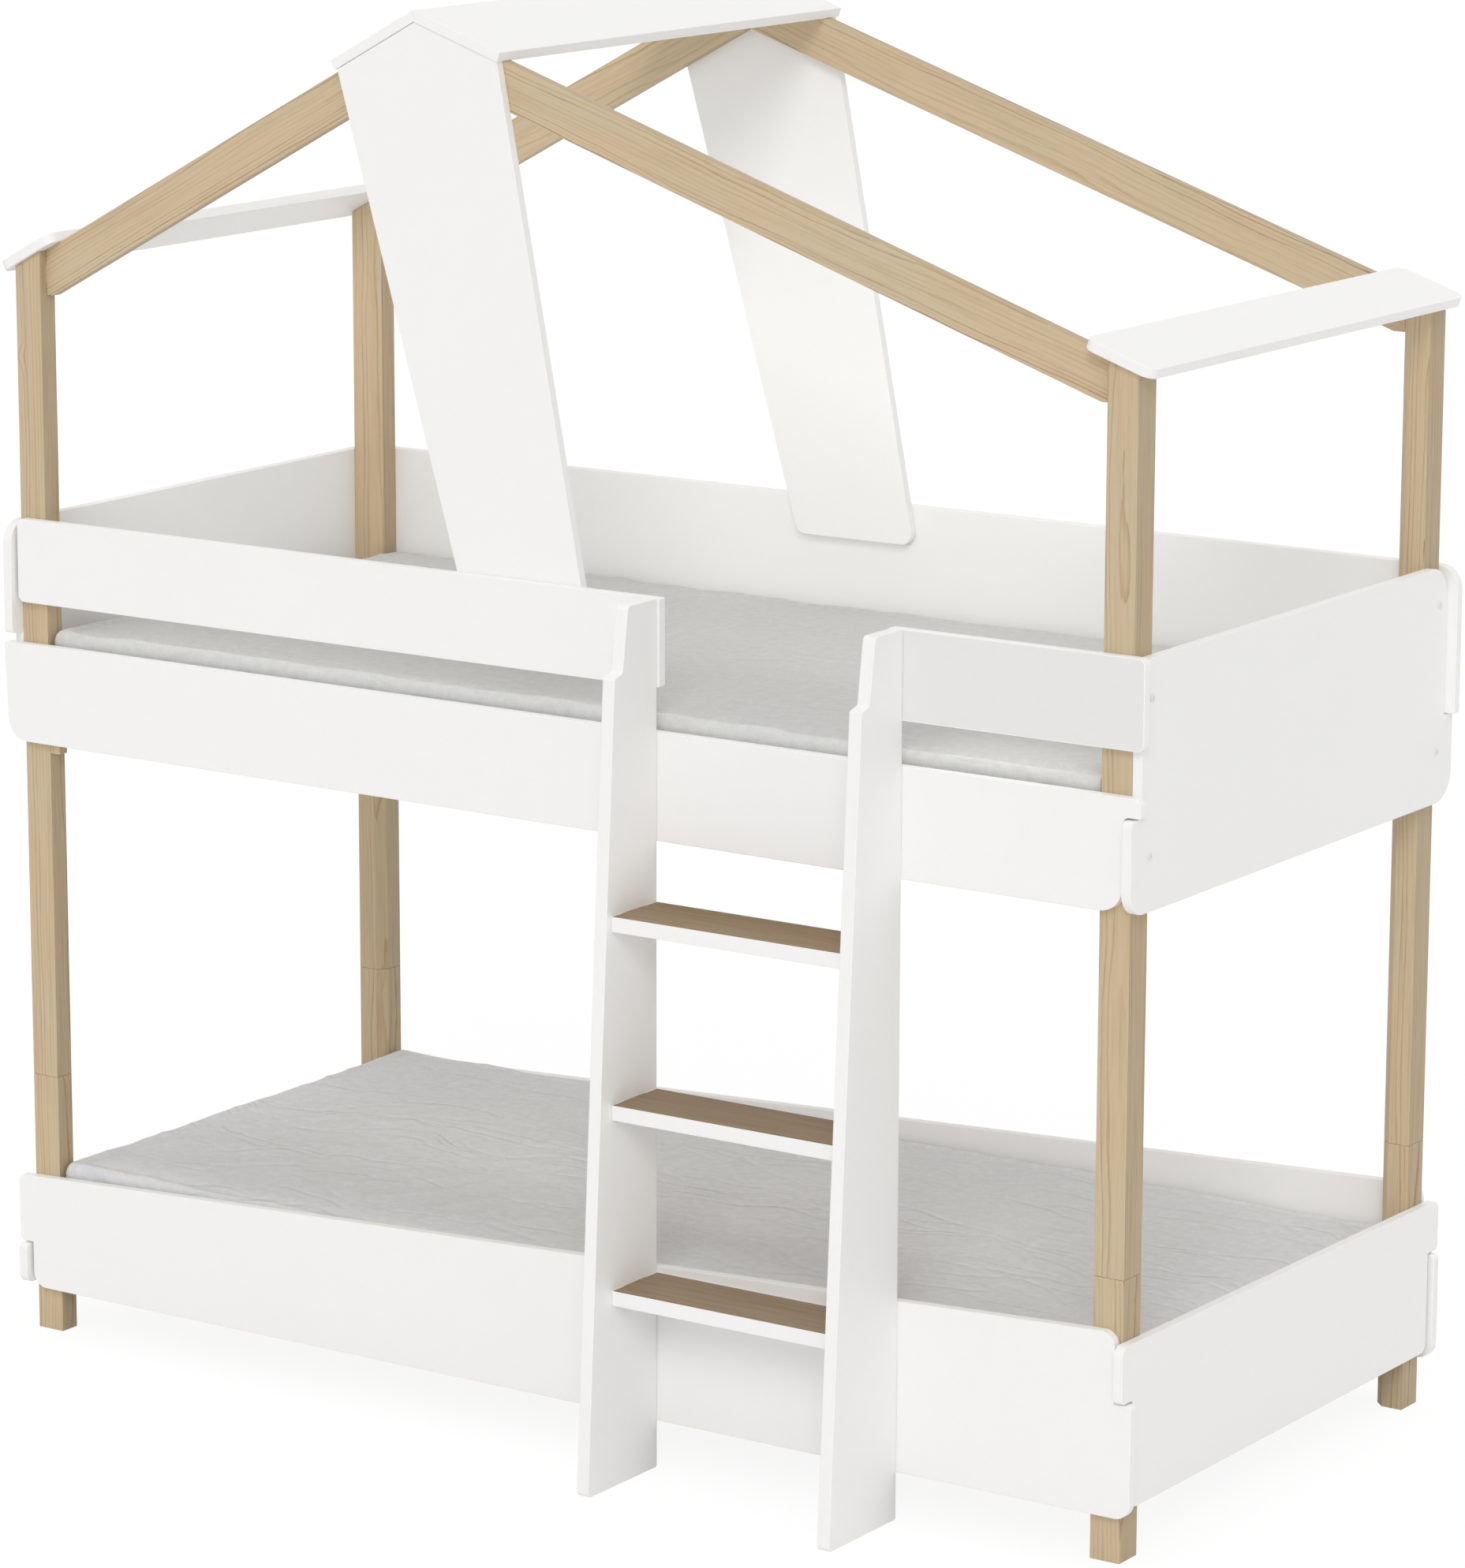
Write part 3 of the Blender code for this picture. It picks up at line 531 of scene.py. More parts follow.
class Recipe:
    """A material or a world whose nodes are added one call at a time."""

    def __init__(self, owner: bpy.types.Material | bpy.types.World) -> None:
        """Turns the owner's nodes on and finds its shader.

        Args:
            owner: The material or the world.
        """
        owner.use_nodes = True
        self.owner = owner
        self.nodes = owner.node_tree.nodes
        self.links = owner.node_tree.links
        self.shader = self.nodes.get("Principled BSDF") or self.nodes["Background"]

    def feed(self, socket: bpy.types.NodeSocket, value: object) -> None:
        """Links a socket to a value, or sets the socket's own number.

        Args:
            socket: The input.
            value: A value or plain numbers.
        """
        if isinstance(value, Value):
            self.links.new(value.socket, socket)
        else:
            socket.default_value = value

    def value(
        self, kind: str, output: int | str, inputs: dict | None = None, **settings: object
    ) -> Value:
        """Adds a node.

        Args:
            kind: The node's type, without its ShaderNode prefix.
            output: Name or number of the output that is wanted.
            inputs: A value or plain numbers for each input, by name or number.
            settings: The node's own settings.

        Returns:
            What the node gives at that output.
        """
        made = self.nodes.new("ShaderNode" + kind)
        for key, setting in settings.items():
            setattr(made, key, setting)
        for key, value in (inputs or {}).items():
            self.feed(made.inputs[key], value)
        return Value(self, made.outputs[output])

    def noise(self, at: Value, scale: float, detail: float = 2.0, rough: float = 0.5) -> Value:
        """Noise from 0 to 1 at a vector."""
        inputs = {"Vector": at, "Scale": scale, "Detail": detail, "Roughness": rough}
        return self.value("TexNoise", "Fac", inputs)

    def swayed(self, at: Value, rate: Value, scale: float, reach: float) -> Value:
        """A vector moved to and fro in its first two numbers by slow noise."""
        drift = self.value("TexNoise", "Color", {"Vector": rate, "Scale": scale, "Detail": 2.0})
        return at + (drift - (0.5, 0.5, 0.5)) * (reach, reach, 0.0)

    def mix(self, share: object, low: object, high: object, blend: str = "MIX") -> Value:
        """Two colours mixed by a share.

        Args:
            share: Share of the second colour.
            low: The first colour, as a value or three numbers.
            high: The second colour.
            blend: How they mix.

        Returns:
            The mixed colour.
        """
        low, high = (one if isinstance(one, Value) else (*one, 1.0) for one in (low, high))
        inputs = {0: share, 6: low, 7: high}
        return self.value("Mix", 2, inputs, data_type="RGBA", blend_type=blend)

    def bump(self, height: Value, distance: float, strength: float = 1.0) -> None:
        """Adds relief to the shader's normal, over what is there.

        Args:
            height: Height of the relief, about 0 to 1.
            distance: What a height of 1 stands for, in metres.
            strength: How much of it shows.
        """
        inputs = {"Height": height, "Distance": distance, "Strength": strength}
        socket = self.shader.inputs["Normal"]
        if socket.is_linked:
            inputs["Normal"] = Value(self, socket.links[0].from_socket)
        self.feed(socket, self.value("Bump", 0, inputs))

    def shade(self, **values: object) -> bpy.types.Material | bpy.types.World:
        """Gives the shader's inputs, with underscores for spaces, and returns the owner.

        Args:
            values: A value or plain numbers for each input.

        Returns:
            The owner.
        """
        for key, value in values.items():
            self.feed(self.shader.inputs[key.replace("_", " ")], value)
        return self.owner


def tinted(colour: Colour, factor: float | Colour) -> Colour:
    """A colour times a number or another colour, held to 1."""
    return tuple(np.minimum(np.array(colour) * factor, 1.0).tolist())


@dataclass(frozen=True)
class Wood:
    """Softwood with growth rings about a pith, fine fibres and a few small knots."""

    name: str
    pale: Colour
    ring: Colour
    knot: Colour = (0.22, 0.12, 0.06)
    warmth: Colour = (1.020, 0.978, 0.945)
    ring_width: float = 0.0060
    ring_strength: float = 0.78
    wander: float = 0.044
    ripple: float = 0.85
    swerve: float = 1.4
    knots: float = 0.7
    # Painted shade: colour factor for faces that face neither front nor back.
    edge: float = 0.87
    roughness: float = 0.52

    def material(self) -> bpy.types.Material:
        """The finish, from the piece's grain attribute: across, through and along, in metres.

        Formula: the distance from the pith, which wanders along the piece, gives the ring; each
        ring ends in a thin dark line, by an amount of its own, and swerves round the knots. The
        edge attribute marks the faces that face neither front nor back, whose colour is darkened
        by the edge factor as painted shade.

        Returns:
            The material.
        """
        recipe = Recipe(bpy.data.materials.new(self.name))
        grain = recipe.value("Attribute", "Vector", attribute_name="grain")
        edge = recipe.value("Attribute", "Fac", attribute_name="edge")
        bent = recipe.swayed(grain, grain * (6.0, 6.0, 1.5), 1.0, self.wander)
        radius = (bent * (1.0, 1.0, 0.0)).apply("LENGTH")
        away = recipe.value("TexVoronoi", "Distance", {"Vector": grain, "Scale": 4.2})
        ripple = recipe.noise(grain * (70.0, 70.0, 9.0), 1.0, 3.0, 0.6)
        phase = ripple * self.ripple + radius / self.ring_width
        phase = away.spread(0.01, 0.15, 1.0, 0.0) * self.swerve + phase
        through = phase.apply("FRACT")
        years = {"W": phase, "Scale": 0.30, "Detail": 1.0}
        years = recipe.value("TexNoise", "Fac", years, noise_dimensions="1D")
        number = {"W": phase.apply("FLOOR")}
        own = recipe.value("TexWhiteNoise", "Value", number, noise_dimensions="1D")
        ended = through.spread(0.93, 1.0, 1.0, 0.0)
        late = through.spread(0.58, 0.90) * ended * own.spread(0.25, 0.95, 0.10, 1.3)
        late = late * years.spread(0.40, 0.60, 0.25, 1.0)
        fibre = recipe.noise(grain * (420.0, 420.0, 8.0), 1.0, 3.0)
        streak = recipe.noise(grain * (170.0, 170.0, 3.5), 1.0, 3.0)
        patch = recipe.noise(grain * (16.0, 16.0, 3.5), 1.0)
        dark = late * self.ring_strength + through * ended * 0.06
        dark = dark + fibre.spread(0.32, 0.72, -0.09, 0.15)
        dark = dark + streak.spread(0.35, 0.72, -0.08, 0.14)
        base = recipe.mix(patch.spread(0.35, 0.68), self.pale, tinted(self.pale, self.warmth))
        colour = recipe.mix(dark.apply("MAXIMUM", 0.0), base, self.ring)
        heart = away.spread(0.012, 0.030, 1.0, 0.0) * self.knots
        colour = recipe.mix(heart, colour, self.knot)
        # Painted shade: faces that face neither front nor back are darkened by the edge factor.
        colour = recipe.mix(edge, colour, [self.edge] * 3, "MULTIPLY")
        recipe.bump(late * 0.8 + fibre, 0.00025, 0.35)
        rough = fibre.spread(0.2, 0.8, self.roughness - 0.06, self.roughness + 0.10)
        return recipe.shade(Base_Color=colour, Roughness=rough, Specular_IOR_Level=0.30)


@dataclass(frozen=True)
class Lacquer:
    """Sprayed lacquer with a faint orange peel and fine speckle."""

    name: str
    colour: Colour
    roughness: float = 0.42
    speckle: float = 0.010

    def material(self) -> bpy.types.Material:
        """The finish, from Object coordinates.

        Returns:
            The material.
        """
        recipe = Recipe(bpy.data.materials.new(self.name))
        at = recipe.value("TexCoord", "Object")
        cloud, fine = recipe.noise(at, 3.0), recipe.noise(at, 520.0, 1.0)
        peel = recipe.noise(at, 230.0)
        grains = (cloud * 0.35 + fine).spread(0.35, 0.95)
        shade = tinted(self.colour, 1 - self.speckle * 1.6)
        light = tinted(self.colour, 1 + self.speckle * 0.5)
        colour = recipe.mix(grains, shade, light)
        recipe.bump(peel, 0.00006, 0.5)
        rough = peel.spread(0.25, 0.75, self.roughness - 0.05, self.roughness + 0.06)
        return recipe.shade(Base_Color=colour, Roughness=rough, Specular_IOR_Level=0.30)


@dataclass(frozen=True)
class Ticking:
    """Woven mattress cover, crumpled where it was folded: long creases and fine ones."""

    name: str
    colour: Colour
    crease: float = 1.0
    crease_depth: float = 0.0018
    # Painted light: factor by which the front border is made lighter, as if lit.
    border_tint: float = 1.16
    thread: float = 0.0016
    fold_reach: float = 0.11

    def material(self) -> bpy.types.Material:
        """The finish, from the piece's cloth attribute: the place on the flat cover in metres.

        Formula: a crease is a soft groove along the edge between two cells of a stretched cell
        pattern. Lengthwise creases and fine crumples gather about the fold along the middle. The
        border attribute says where the front border starts, and there painted light makes the
        cover lighter.

        Returns:
            The material.
        """
        recipe = Recipe(bpy.data.materials.new(self.name))
        cloth = recipe.value("Attribute", "Vector", attribute_name="cloth")
        along, across = (recipe.value("SeparateXYZ", axis, {0: cloth}) for axis in "XY")
        bent = recipe.swayed(cloth, cloth, 3.2, 0.20)
        patch = recipe.noise(cloth, 4.5)
        other = recipe.noise(cloth + (7.0, 3.0, 0.0), 5.5)
        near = (across / self.fold_reach).apply("ABSOLUTE").spread(0.1, 1.3, 1.0, 0.0)
        layers = (
            (0.10, (2.0, 10.0, 1.0), 0.07, 0.3, near * 0.7 + patch.spread(0.45, 0.62, 0.0, 0.4)),
            (0.95, (2.4, 8.0, 1.0), 0.07, 1.7, patch.spread(0.38, 0.58)),
            (-0.55, (2.8, 9.0, 1.0), 0.07, 4.1, other.spread(0.40, 0.60, 0.0, 0.9)),
            (0.40, (9.0, 16.0, 1.0), 0.16, 8.3, near * 0.35),
        )
        height = 0.0
        for angle, scale, width, moved, depth in layers:
            turn = {"Location": (moved, moved, 0), "Rotation": (0, 0, angle), "Scale": scale}
            at = recipe.value("Mapping", 0, {"Vector": bent, **turn})
            kind = {"feature": "DISTANCE_TO_EDGE", "voronoi_dimensions": "2D"}
            cell = recipe.value("TexVoronoi", "Distance", {"Vector": at, "Scale": 1.0}, **kind)
            height = cell.spread(0.0, width) * depth + height
        turn = 2 * math.pi / self.thread
        weave = (along * turn).apply("SINE") * (across * (turn * 0.8)).apply("SINE")
        fuzz = recipe.noise(cloth, 330.0)
        tone = fuzz * 0.45 + recipe.noise(cloth, 60.0, 3.0, 0.6) * 0.5
        shade, light = tinted(self.colour, 0.90), tinted(self.colour, 1.05)
        colour = recipe.mix(tone.spread(0.30, 0.70), shade, light)
        colour = recipe.mix(weave.spread(-1.0, 1.0, 0.10, 0.0), colour, shade)
        # Painted light: the front border is lightened, standing for light falling on it.
        border = recipe.value("Attribute", "Fac", attribute_name="border")
        painted_lit_border = recipe.mix(1.0, colour, [self.border_tint] * 3, "MULTIPLY")
        recipe.bump(height, self.crease_depth * self.crease)
        recipe.bump(fuzz * 0.7 + weave, 0.00016, 0.4)
        return recipe.shade(
            Base_Color=recipe.mix(border, colour, painted_lit_border),
            Roughness=fuzz.spread(0.2, 0.8, 0.84, 0.96),
            Specular_IOR_Level=0.2,
            Sheen_Weight=0.10,
            Sheen_Roughness=0.6,
        )


@dataclass(frozen=True)
class Webbing:
    """Woven strap: narrow diagonal ribs."""

    name: str
    colour: Colour
    rib: float = 0.0016

    def material(self) -> bpy.types.Material:
        """The finish, from Object coordinates.

        Returns:
            The material.
        """
        recipe = Recipe(bpy.data.materials.new(self.name))
        at = recipe.value("TexCoord", "Object")
        inputs = {"Vector": at, "Scale": 1 / self.rib / 6.3, "Distortion": 0.6}
        wave = recipe.value("TexWave", "Fac", inputs, bands_direction="DIAGONAL")
        fuzz = recipe.noise(at, 1100.0)
        tone = fuzz * 0.4 + wave * 0.6
        recipe.bump(wave, 0.0003, 0.5)
        colour = recipe.mix(tone, tinted(self.colour, 0.7), self.colour)
        return recipe.shade(Base_Color=colour, Roughness=fuzz.spread(0.2, 0.8, 0.8, 0.95))


@dataclass(frozen=True)
class Plating:
    """Zinc-plated steel with fine turning marks."""

    name: str
    colour: Colour

    def material(self) -> bpy.types.Material:
        """The finish, from Object coordinates.

        Returns:
            The material.
        """
        recipe = Recipe(bpy.data.materials.new(self.name))
        at = recipe.value("TexCoord", "Object")
        marks = recipe.noise(at * (300.0, 4000.0, 300.0), 1.0)
        recipe.bump(marks, 0.00005, 0.4)
        colour = recipe.mix(recipe.noise(at, 160.0), tinted(self.colour, 0.75), self.colour)
        rough = marks.spread(0.2, 0.8, 0.26, 0.42)
        return recipe.shade(Base_Color=colour, Roughness=rough, Metallic=1.0)


class Finish(Enum):
    """The finishes, each with the record's slot that it belongs to."""

    POST = (
        "post_wood",
        # The posts' painted shade on faces that face neither front nor back is deeper.
        Wood("post_pine", (0.618, 0.499, 0.331), (0.395, 0.252, 0.132), edge=0.83),
    )
    ROOF = ("roof_wood", Wood("roof_pine", (0.632, 0.512, 0.342), (0.395, 0.252, 0.132)))
    BASE = ("base_wood", Wood("base_pine", (0.640, 0.500, 0.320), (0.40, 0.260, 0.130)))
    TREAD = (
        "tread_wood",
        Wood(
            "tread_oak",
            (0.338, 0.248, 0.156),
            (0.171, 0.114, 0.065),
            ring_width=0.0055,
            knots=0.0,
            edge=1.0,
        ),
    )
    BOARD = ("white_board", Lacquer("white_lacquer", (0.955, 0.949, 0.936)))
    GREYER_BOARD = ("white_board", Lacquer("greyer_lacquer", (0.835, 0.829, 0.818)))
    # Painted light and shade: both covers are one cloth; the upper copy is darker against the top
    # lamp, the lower copy lighter for the shade under the upper bed.
    UPPER_COVER = (
        "mattress_fabric",
        Ticking("upper_ticking", (0.625, 0.624, 0.610), crease=0.5),
    )
    LOWER_COVER = (
        "mattress_fabric",
        Ticking("lower_ticking", (0.768, 0.776, 0.780), border_tint=1.0),
    )
    WHITE_BOLT = ("white_bolt", Lacquer("bolt_paint", (0.815, 0.808, 0.792), roughness=0.34))
    STEEL_BOLT = ("steel_bolt", Plating("bolt_plating", (0.62, 0.62, 0.63)))
    STRAP = ("base_wood", Webbing("strap_webbing", (0.72, 0.70, 0.66)))

    @property
    def slot(self) -> str:
        """The record's material slot."""
        return self.value[0]

    @property
    def material(self) -> bpy.types.Material:
        """The material, made once."""
        recipe = self.value[1]
        return bpy.data.materials.get(recipe.name) or recipe.material()


# Making a piece


def in_scene(name: str, data: bpy.types.ID, place: Matrix | None = None) -> bpy.types.Object:
    """A new object in the scene, at a place or at the origin.

    Args:
        name: Its name.
        data: Its mesh, lamp or camera.
        place: Where it stands, if not at the origin.

    Returns:
        The object.
    """
    obj = bpy.data.objects.new(name, data)
    if place is not None:
        obj.matrix_world = place
    bpy.context.scene.collection.objects.link(obj)
    return obj


def write_attribute(mesh: bpy.types.Mesh, name: str, values: Array, where: str = "POINT") -> None:
    """Gives a mesh a number, or a vector where there are three columns, for each point or face.

    Args:
        mesh: The mesh.
        name: The attribute's name.
        values: The numbers, or the rows of three.
        where: POINT or FACE.
    """
    kind, key = ("FLOAT", "value") if values.ndim == 1 else ("FLOAT_VECTOR", "vector")
    attribute = mesh.attributes.new(name, kind, where)
    attribute.data.foreach_set(key, values.astype(np.float32).ravel())


def points_of(mesh: bpy.types.Mesh) -> Array:
    """A mesh's points, one a row.

    Args:
        mesh: The mesh.

    Returns:
        The places.
    """
    points = np.empty(len(mesh.vertices) * 3)
    mesh.vertices.foreach_get("co", points)
    return points.reshape(-1, 3)


@dataclass
class Assembly:
    """A sub-assembly: it makes its pieces, dresses them and keeps a list of them."""

    pieces: list[bpy.types.Object] = field(default_factory=list, init=False)

    def piece(
        self,
        node: str,
        surface: Surface,
        *finishes: Finish,
        grain: Sequence[float] | None = None,
        pith: tuple[float, float] = (0.02, 0.05),
        body: str = "frame",
    ) -> bpy.types.Object:
        """Makes an object from a surface measured from the bed's corner, in place of a CAD node.

        Args:
            node: The CAD node that it stands for.
            surface: Its points and faces.
            finishes: The finish of each of the surface's parts. The last one, which has the
                record's slot, also serves any further parts.
            grain: The direction of the wood's fibres, if it is wood.
            pith: How far the pith lies from the piece's middle, across and through.
            body: The body that it moves with.

        Returns:
            The object, at the origin and riding on its body.
        """
        points = surface.points + BED.corner
        mesh = bpy.data.meshes.new(node + "_finished")
        mesh.from_pydata(points.tolist(), [], surface.faces)
        part = np.minimum(surface.part, len(finishes) - 1)
        mesh.polygons.foreach_set("use_smooth", surface.smooth)
        mesh.polygons.foreach_set("material_index", part.astype(np.int32))
        for finish in finishes:
            mesh.materials.append(finish.material)
        if grain is not None:
            self.grain(mesh, points, np.array(grain, float), pith, node)
        mesh.update()
        obj = in_scene(node + "_finished", mesh)
        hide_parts(node)
        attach(obj, body)
        self.pieces.append(obj)
        return obj

    def grain(
        self,
        mesh: bpy.types.Mesh,
        points: Array,
        along: Array,
        pith: tuple[float, float],
        node: str,
    ) -> None:
        """Writes the wood's own coordinates, across, through and along, and where shade is painted.

        Formula: the points in an orthonormal frame whose third axis is the fibres' direction,
        about the piece's middle, moved to the pith, and along it by a length of the piece's own.
        A face gets painted shade where it looks up, down or along the bed; none where the fibres
        run across the bed.

        Args:
            mesh: The mesh that gets the attributes.
            points: Its points.
            along: The fibres' direction.
            pith: How far the pith lies from the piece's middle.
            node: The piece's name, from which its own length comes.
        """
        along = along / np.linalg.norm(along)
        side = np.cross((0.0, 1.0, 0.0), along)
        if np.linalg.norm(side) < 0.1:
            side = np.cross((0.0, 0.0, 1.0), along)
        side /= np.linalg.norm(side)
        axes = np.stack((side, np.cross(along, side), along), axis=1)
        own = sum((place + 1) * ord(letter) for place, letter in enumerate(node)) % 97
        tilt = np.array((0.010 * math.sin(own), 0.010 * math.cos(own * 1.7)))
        local = (points - (points.min(axis=0) + points.max(axis=0)) / 2) @ axes
        local[:, :2] += np.array(pith) + local[:, 2:] * tilt
        local[:, 2] += own * 1.37
        write_attribute(mesh, "grain", local)
        normals = np.empty(len(mesh.polygons) * 3)
        mesh.polygons.foreach_get("normal", normals)
        lengthwise = abs(along[1]) < 0.5
        # Painted shade mask: near 1 on faces that look up, down or along the bed.
        edge = np.clip(1.6 - 3 * np.abs(normals[1::3]), 0, 1) * lengthwise
        write_attribute(mesh, "edge", edge, "FACE")


# Sub-assemblies


@dataclass
class Posts(Assembly):
    """Eight posts in four stacks, square with the inner corner cut off, and their dowels."""

    chamfer: float = 0.0152
    seam: float = 0.4397
    arris: float = 0.0008
    corner: float = 0.0014
    dowel_radius: float = 0.005
    dowel_length: float = 0.060
    dowel_arris: float = 0.0015
    dowel_face: tuple[float, float] = (0.70, 0.78)
    dowel_sides: int = 48
    flutes: int = 12
    flute: float = 0.0004
    other_pith: tuple[float, float] = (0.045, -0.035)

    def build(self) -> None:
        """Makes the posts and the dowels."""
        front_piths = {End.LEFT: (0.045, 0.040), End.RIGHT: (0.050, -0.012)}
        upright = Grain.HEIGHT.value
        for end in End:
            for side in Side:
                pith = front_piths[end] if side is Side.FRONT else self.other_pith
                lower, upper = self.post(end, side, False), self.post(end, side, True)
                tag = f"{side}_{end}"
                self.piece(f"lower_post_{tag}", lower, Finish.POST, grain=upright, pith=pith)
                self.piece(f"upper_post_{tag}", upper, Finish.POST, grain=upright, pith=pith[::-1])
                dowel = self.dowel(end, side)
                self.piece(f"post_dowel_{tag}", dowel, Finish.BASE, grain=upright)

    def post(self, end: End, side: Side, roofed: bool) -> Surface:
        """A post: its plan carried upwards, an upper one sheared at its top to the slope.

        Args:
            end: The end of the bed that it stands at.
            side: The side of the bed that it stands at.
            roofed: Whether it goes from the seam to the roof, and not from the floor to the seam.

        Returns:
            The post's surface.
        """
        x, y = BED.post_middle(end, side)
        half, cut = BED.post / 2, BED.post / 2 - self.chamfer
        plan = np.array(((-half, -half), (half, -half), (half, cut), (cut, half), (-half, half)))
        plan *= (-end.value, -side.value)
        corners = [(u, v, self.corner) for u, v in plan.tolist()]
        bottom = self.seam + BED.gap if roofed else 0.0
        top = float(BED.roof(x, end)) if roofed else self.seam
        surface = slab(corners, top - bottom, arris=self.arris, least=self.corner)
        surface = surface.placed((x, y, (top + bottom) / 2), Facing.FLAT.axes)
        if roofed:
            high = surface.points[:, 2] > (top + bottom) / 2
            surface.points[high, 2] += BED.roof(surface.points[high, 0], end) - top
        return surface

    def dowel(self, end: End, side: Side) -> Surface:
        """A fluted dowel through the seam of a stack.

        Args:
            end: The end of the bed that it is at.
            side: The side of the bed that it is at.

        Returns:
            The surface.
        """
        half, radius, arris = self.dowel_length / 2, self.dowel_radius, self.dowel_arris
        upper = [(radius * share, half) for share in self.dowel_face] + [(radius, half - arris)]
        rings = np.array(upper + [(radius, 0.0)] + [(r, -z) for r, z in upper[::-1]])
        share = self.flute / radius

        def fluted(angle: Array) -> Array:
            """The radius at each angle, as a share of the dowel's."""
            return 1 - share * (0.5 - 0.5 * np.cos(self.flutes * angle))

        surface = turned(rings, self.dowel_sides, fluted, len(rings))
        return surface.placed((*BED.post_middle(end, side), self.seam), Facing.FLAT.axes)


@dataclass
class Roof(Assembly):
    """Rafters, the slanted boards in the gables, and the ridge and eaves boards."""

    rafter: float = 0.020
    rafter_depth: float = 0.070
    heel_rise: float = 0.0067
    tenon: float = 0.012
    slanted_left: float = 0.1503
    slanted_right: float = 0.1552
    foot_lean: float = 0.094
    foot_width: float = 0.2292
    foot_height: float = 1.309
    corner: float = 0.020
    overhang: float = 0.003
    mitre_corner: float = 0.0012
    eaves_width: float = 0.1205
    eaves_end: float = 0.029
    eaves_side: float = 0.010

    def build(self) -> None:
        """Makes the rafters and the roof's boards, front and back, left and right."""
        back = BED.width - BED.board
        rows = (
            (Side.FRONT, BED.board + BED.gap, (0.050, 0.034)),
            (Side.BACK, back - BED.gap - self.rafter, (-0.048, -0.036)),
        )
        for end in End:
            fibres = (1.0, 0.0, -end.value * BED.slope(end))
            for side, y_front, pith in rows:
                board = self.rafter_board(end, y_front)
                self.piece(f"rafter_{side}_{end}", board, Finish.ROOF, grain=fibres, pith=pith)
            self.piece(f"ridge_board_{end}", self.ridge_board(end), Finish.BOARD)
            self.piece(f"eaves_board_{end}", self.eaves_board(end), Finish.BOARD)
        for side, y_front in ((Side.FRONT, 0.0), (Side.BACK, back)):
            self.piece(f"slanted_board_{side}", self.slanted_board(y_front), Finish.BOARD)

    def rafter_board(self, end: End, y_front: float) -> Surface:
        """A rafter from the ridge to its post, with the heel cut level and a tenon in the post.

        The tenon takes the third to fifth sevenths of the rafter's depth, from its heel up.

        Args:
            end: The end of the bed that it is at.
            y_front: Place of its front face.

        Returns:
            The surface.
        """
        inward, slope = -end.value, BED.slope(end)
        drop = self.rafter_depth * math.hypot(1, slope)
        foot = BED.clear_left if end is End.LEFT else BED.clear_right
        top = BED.ridge_x - inward * BED.gap / 2
        seat = BED.roof(foot, end) - drop + self.heel_rise
        low, high = seat + self.rafter_depth * 2 / 7, seat + self.rafter_depth * 5 / 7
        tip = foot - inward * self.tenon
        corners = [
            (foot, BED.roof(foot, end), 0),
            (foot, high, 0),
            (tip, high, 0),
            (tip, low, 0),
            (foot, low, 0),
            (foot, seat, 0),
            (foot + inward * self.heel_rise / slope, seat, 0),
            (top, BED.roof(top, end) - drop, 0),
            (top, BED.roof(top, end), 0),
        ]
        return side_board(corners, y_front, self.rafter, arris=0.0008, least=0.0012)

    def slanted_board(self, y_front: float) -> Surface:
        """A board from the gable's peak, leaning to the right and narrowing to its foot.

        Args:
            y_front: Place of its front face.

        Returns:
            The surface.
        """
        left, right = BED.ridge_x - self.slanted_left, BED.ridge_x + self.slanted_right
        foot = BED.ridge_x + self.foot_lean
        corners = [
            (foot, self.foot_height, self.corner),
            (foot + self.foot_width, self.foot_height, self.corner),
            (right, BED.roof(right, End.RIGHT), 0),
            (BED.ridge_x, BED.ridge, 0),
            (left, BED.roof(left, End.LEFT), 0),
        ]
        return side_board(corners, y_front)

    def ridge_board(self, end: End) -> Surface:
        """One of the two boards over the ridge, mitred where their tops meet.

        Args:
            end: The end of the bed that it is at.

        Returns:
            The surface.
        """
        out, slopes = end.value, [BED.slope(one) for one in End]
        angle = math.atan(BED.slope(end))
        reach = self.slanted_left if end is End.LEFT else self.slanted_right
        under = BED.ridge_x + out * (reach + self.overhang)
        rises = [(BED.board + BED.gap) * math.hypot(1, slope) for slope in slopes]
        peak_x = BED.ridge_x + (rises[1] - rises[0]) / sum(slopes)
        peak_z = BED.roof(peak_x, End.LEFT) + rises[0]
        lift, half = BED.gap / math.cos(angle), BED.gap / 2
        low = BED.roof(under, end) + lift
        upper_x = under + out * BED.board * math.sin(angle)
        corners = [
            (under, low, self.mitre_corner),
            (BED.ridge_x + out * half, BED.ridge + lift, 0),
            (peak_x + out * half, peak_z, 0),
            (upper_x, low + BED.board * math.cos(angle), self.mitre_corner),
        ]
        length = BED.width + 2 * self.overhang
        return side_board(corners, -self.overhang, length, arris=0.0006, least=0.0009)

    def eaves_board(self, end: End) -> Surface:
        """A board with rounded corners, flat on the rafters' feet and past the posts.

        Args:
            end: The end of the bed that it is at.

        Returns:
            The surface.
        """
        inward, angle = -end.value, math.atan(BED.slope(end))
        cos, sin = math.cos(angle), math.sin(angle)
        outer = -self.eaves_end if end is End.LEFT else BED.length + self.eaves_end
        under = outer + inward * (BED.board + BED.gap) * sin
        half, out = self.eaves_width / 2, BED.gap + BED.board / 2
        x = under + inward * (half * cos - out * sin)
        z = BED.roof(under, end) + half * sin + out * cos
        reach, lift = BED.width / 2 + self.eaves_side, inward * sin
        axes = np.array(((cos, 0, lift), (0, 1, 0), (-lift, 0, cos)))
        board = slab(rectangle((-half, half), (-reach, reach), self.corner), BED.board)
        return board.placed((x, BED.width / 2, z), axes)


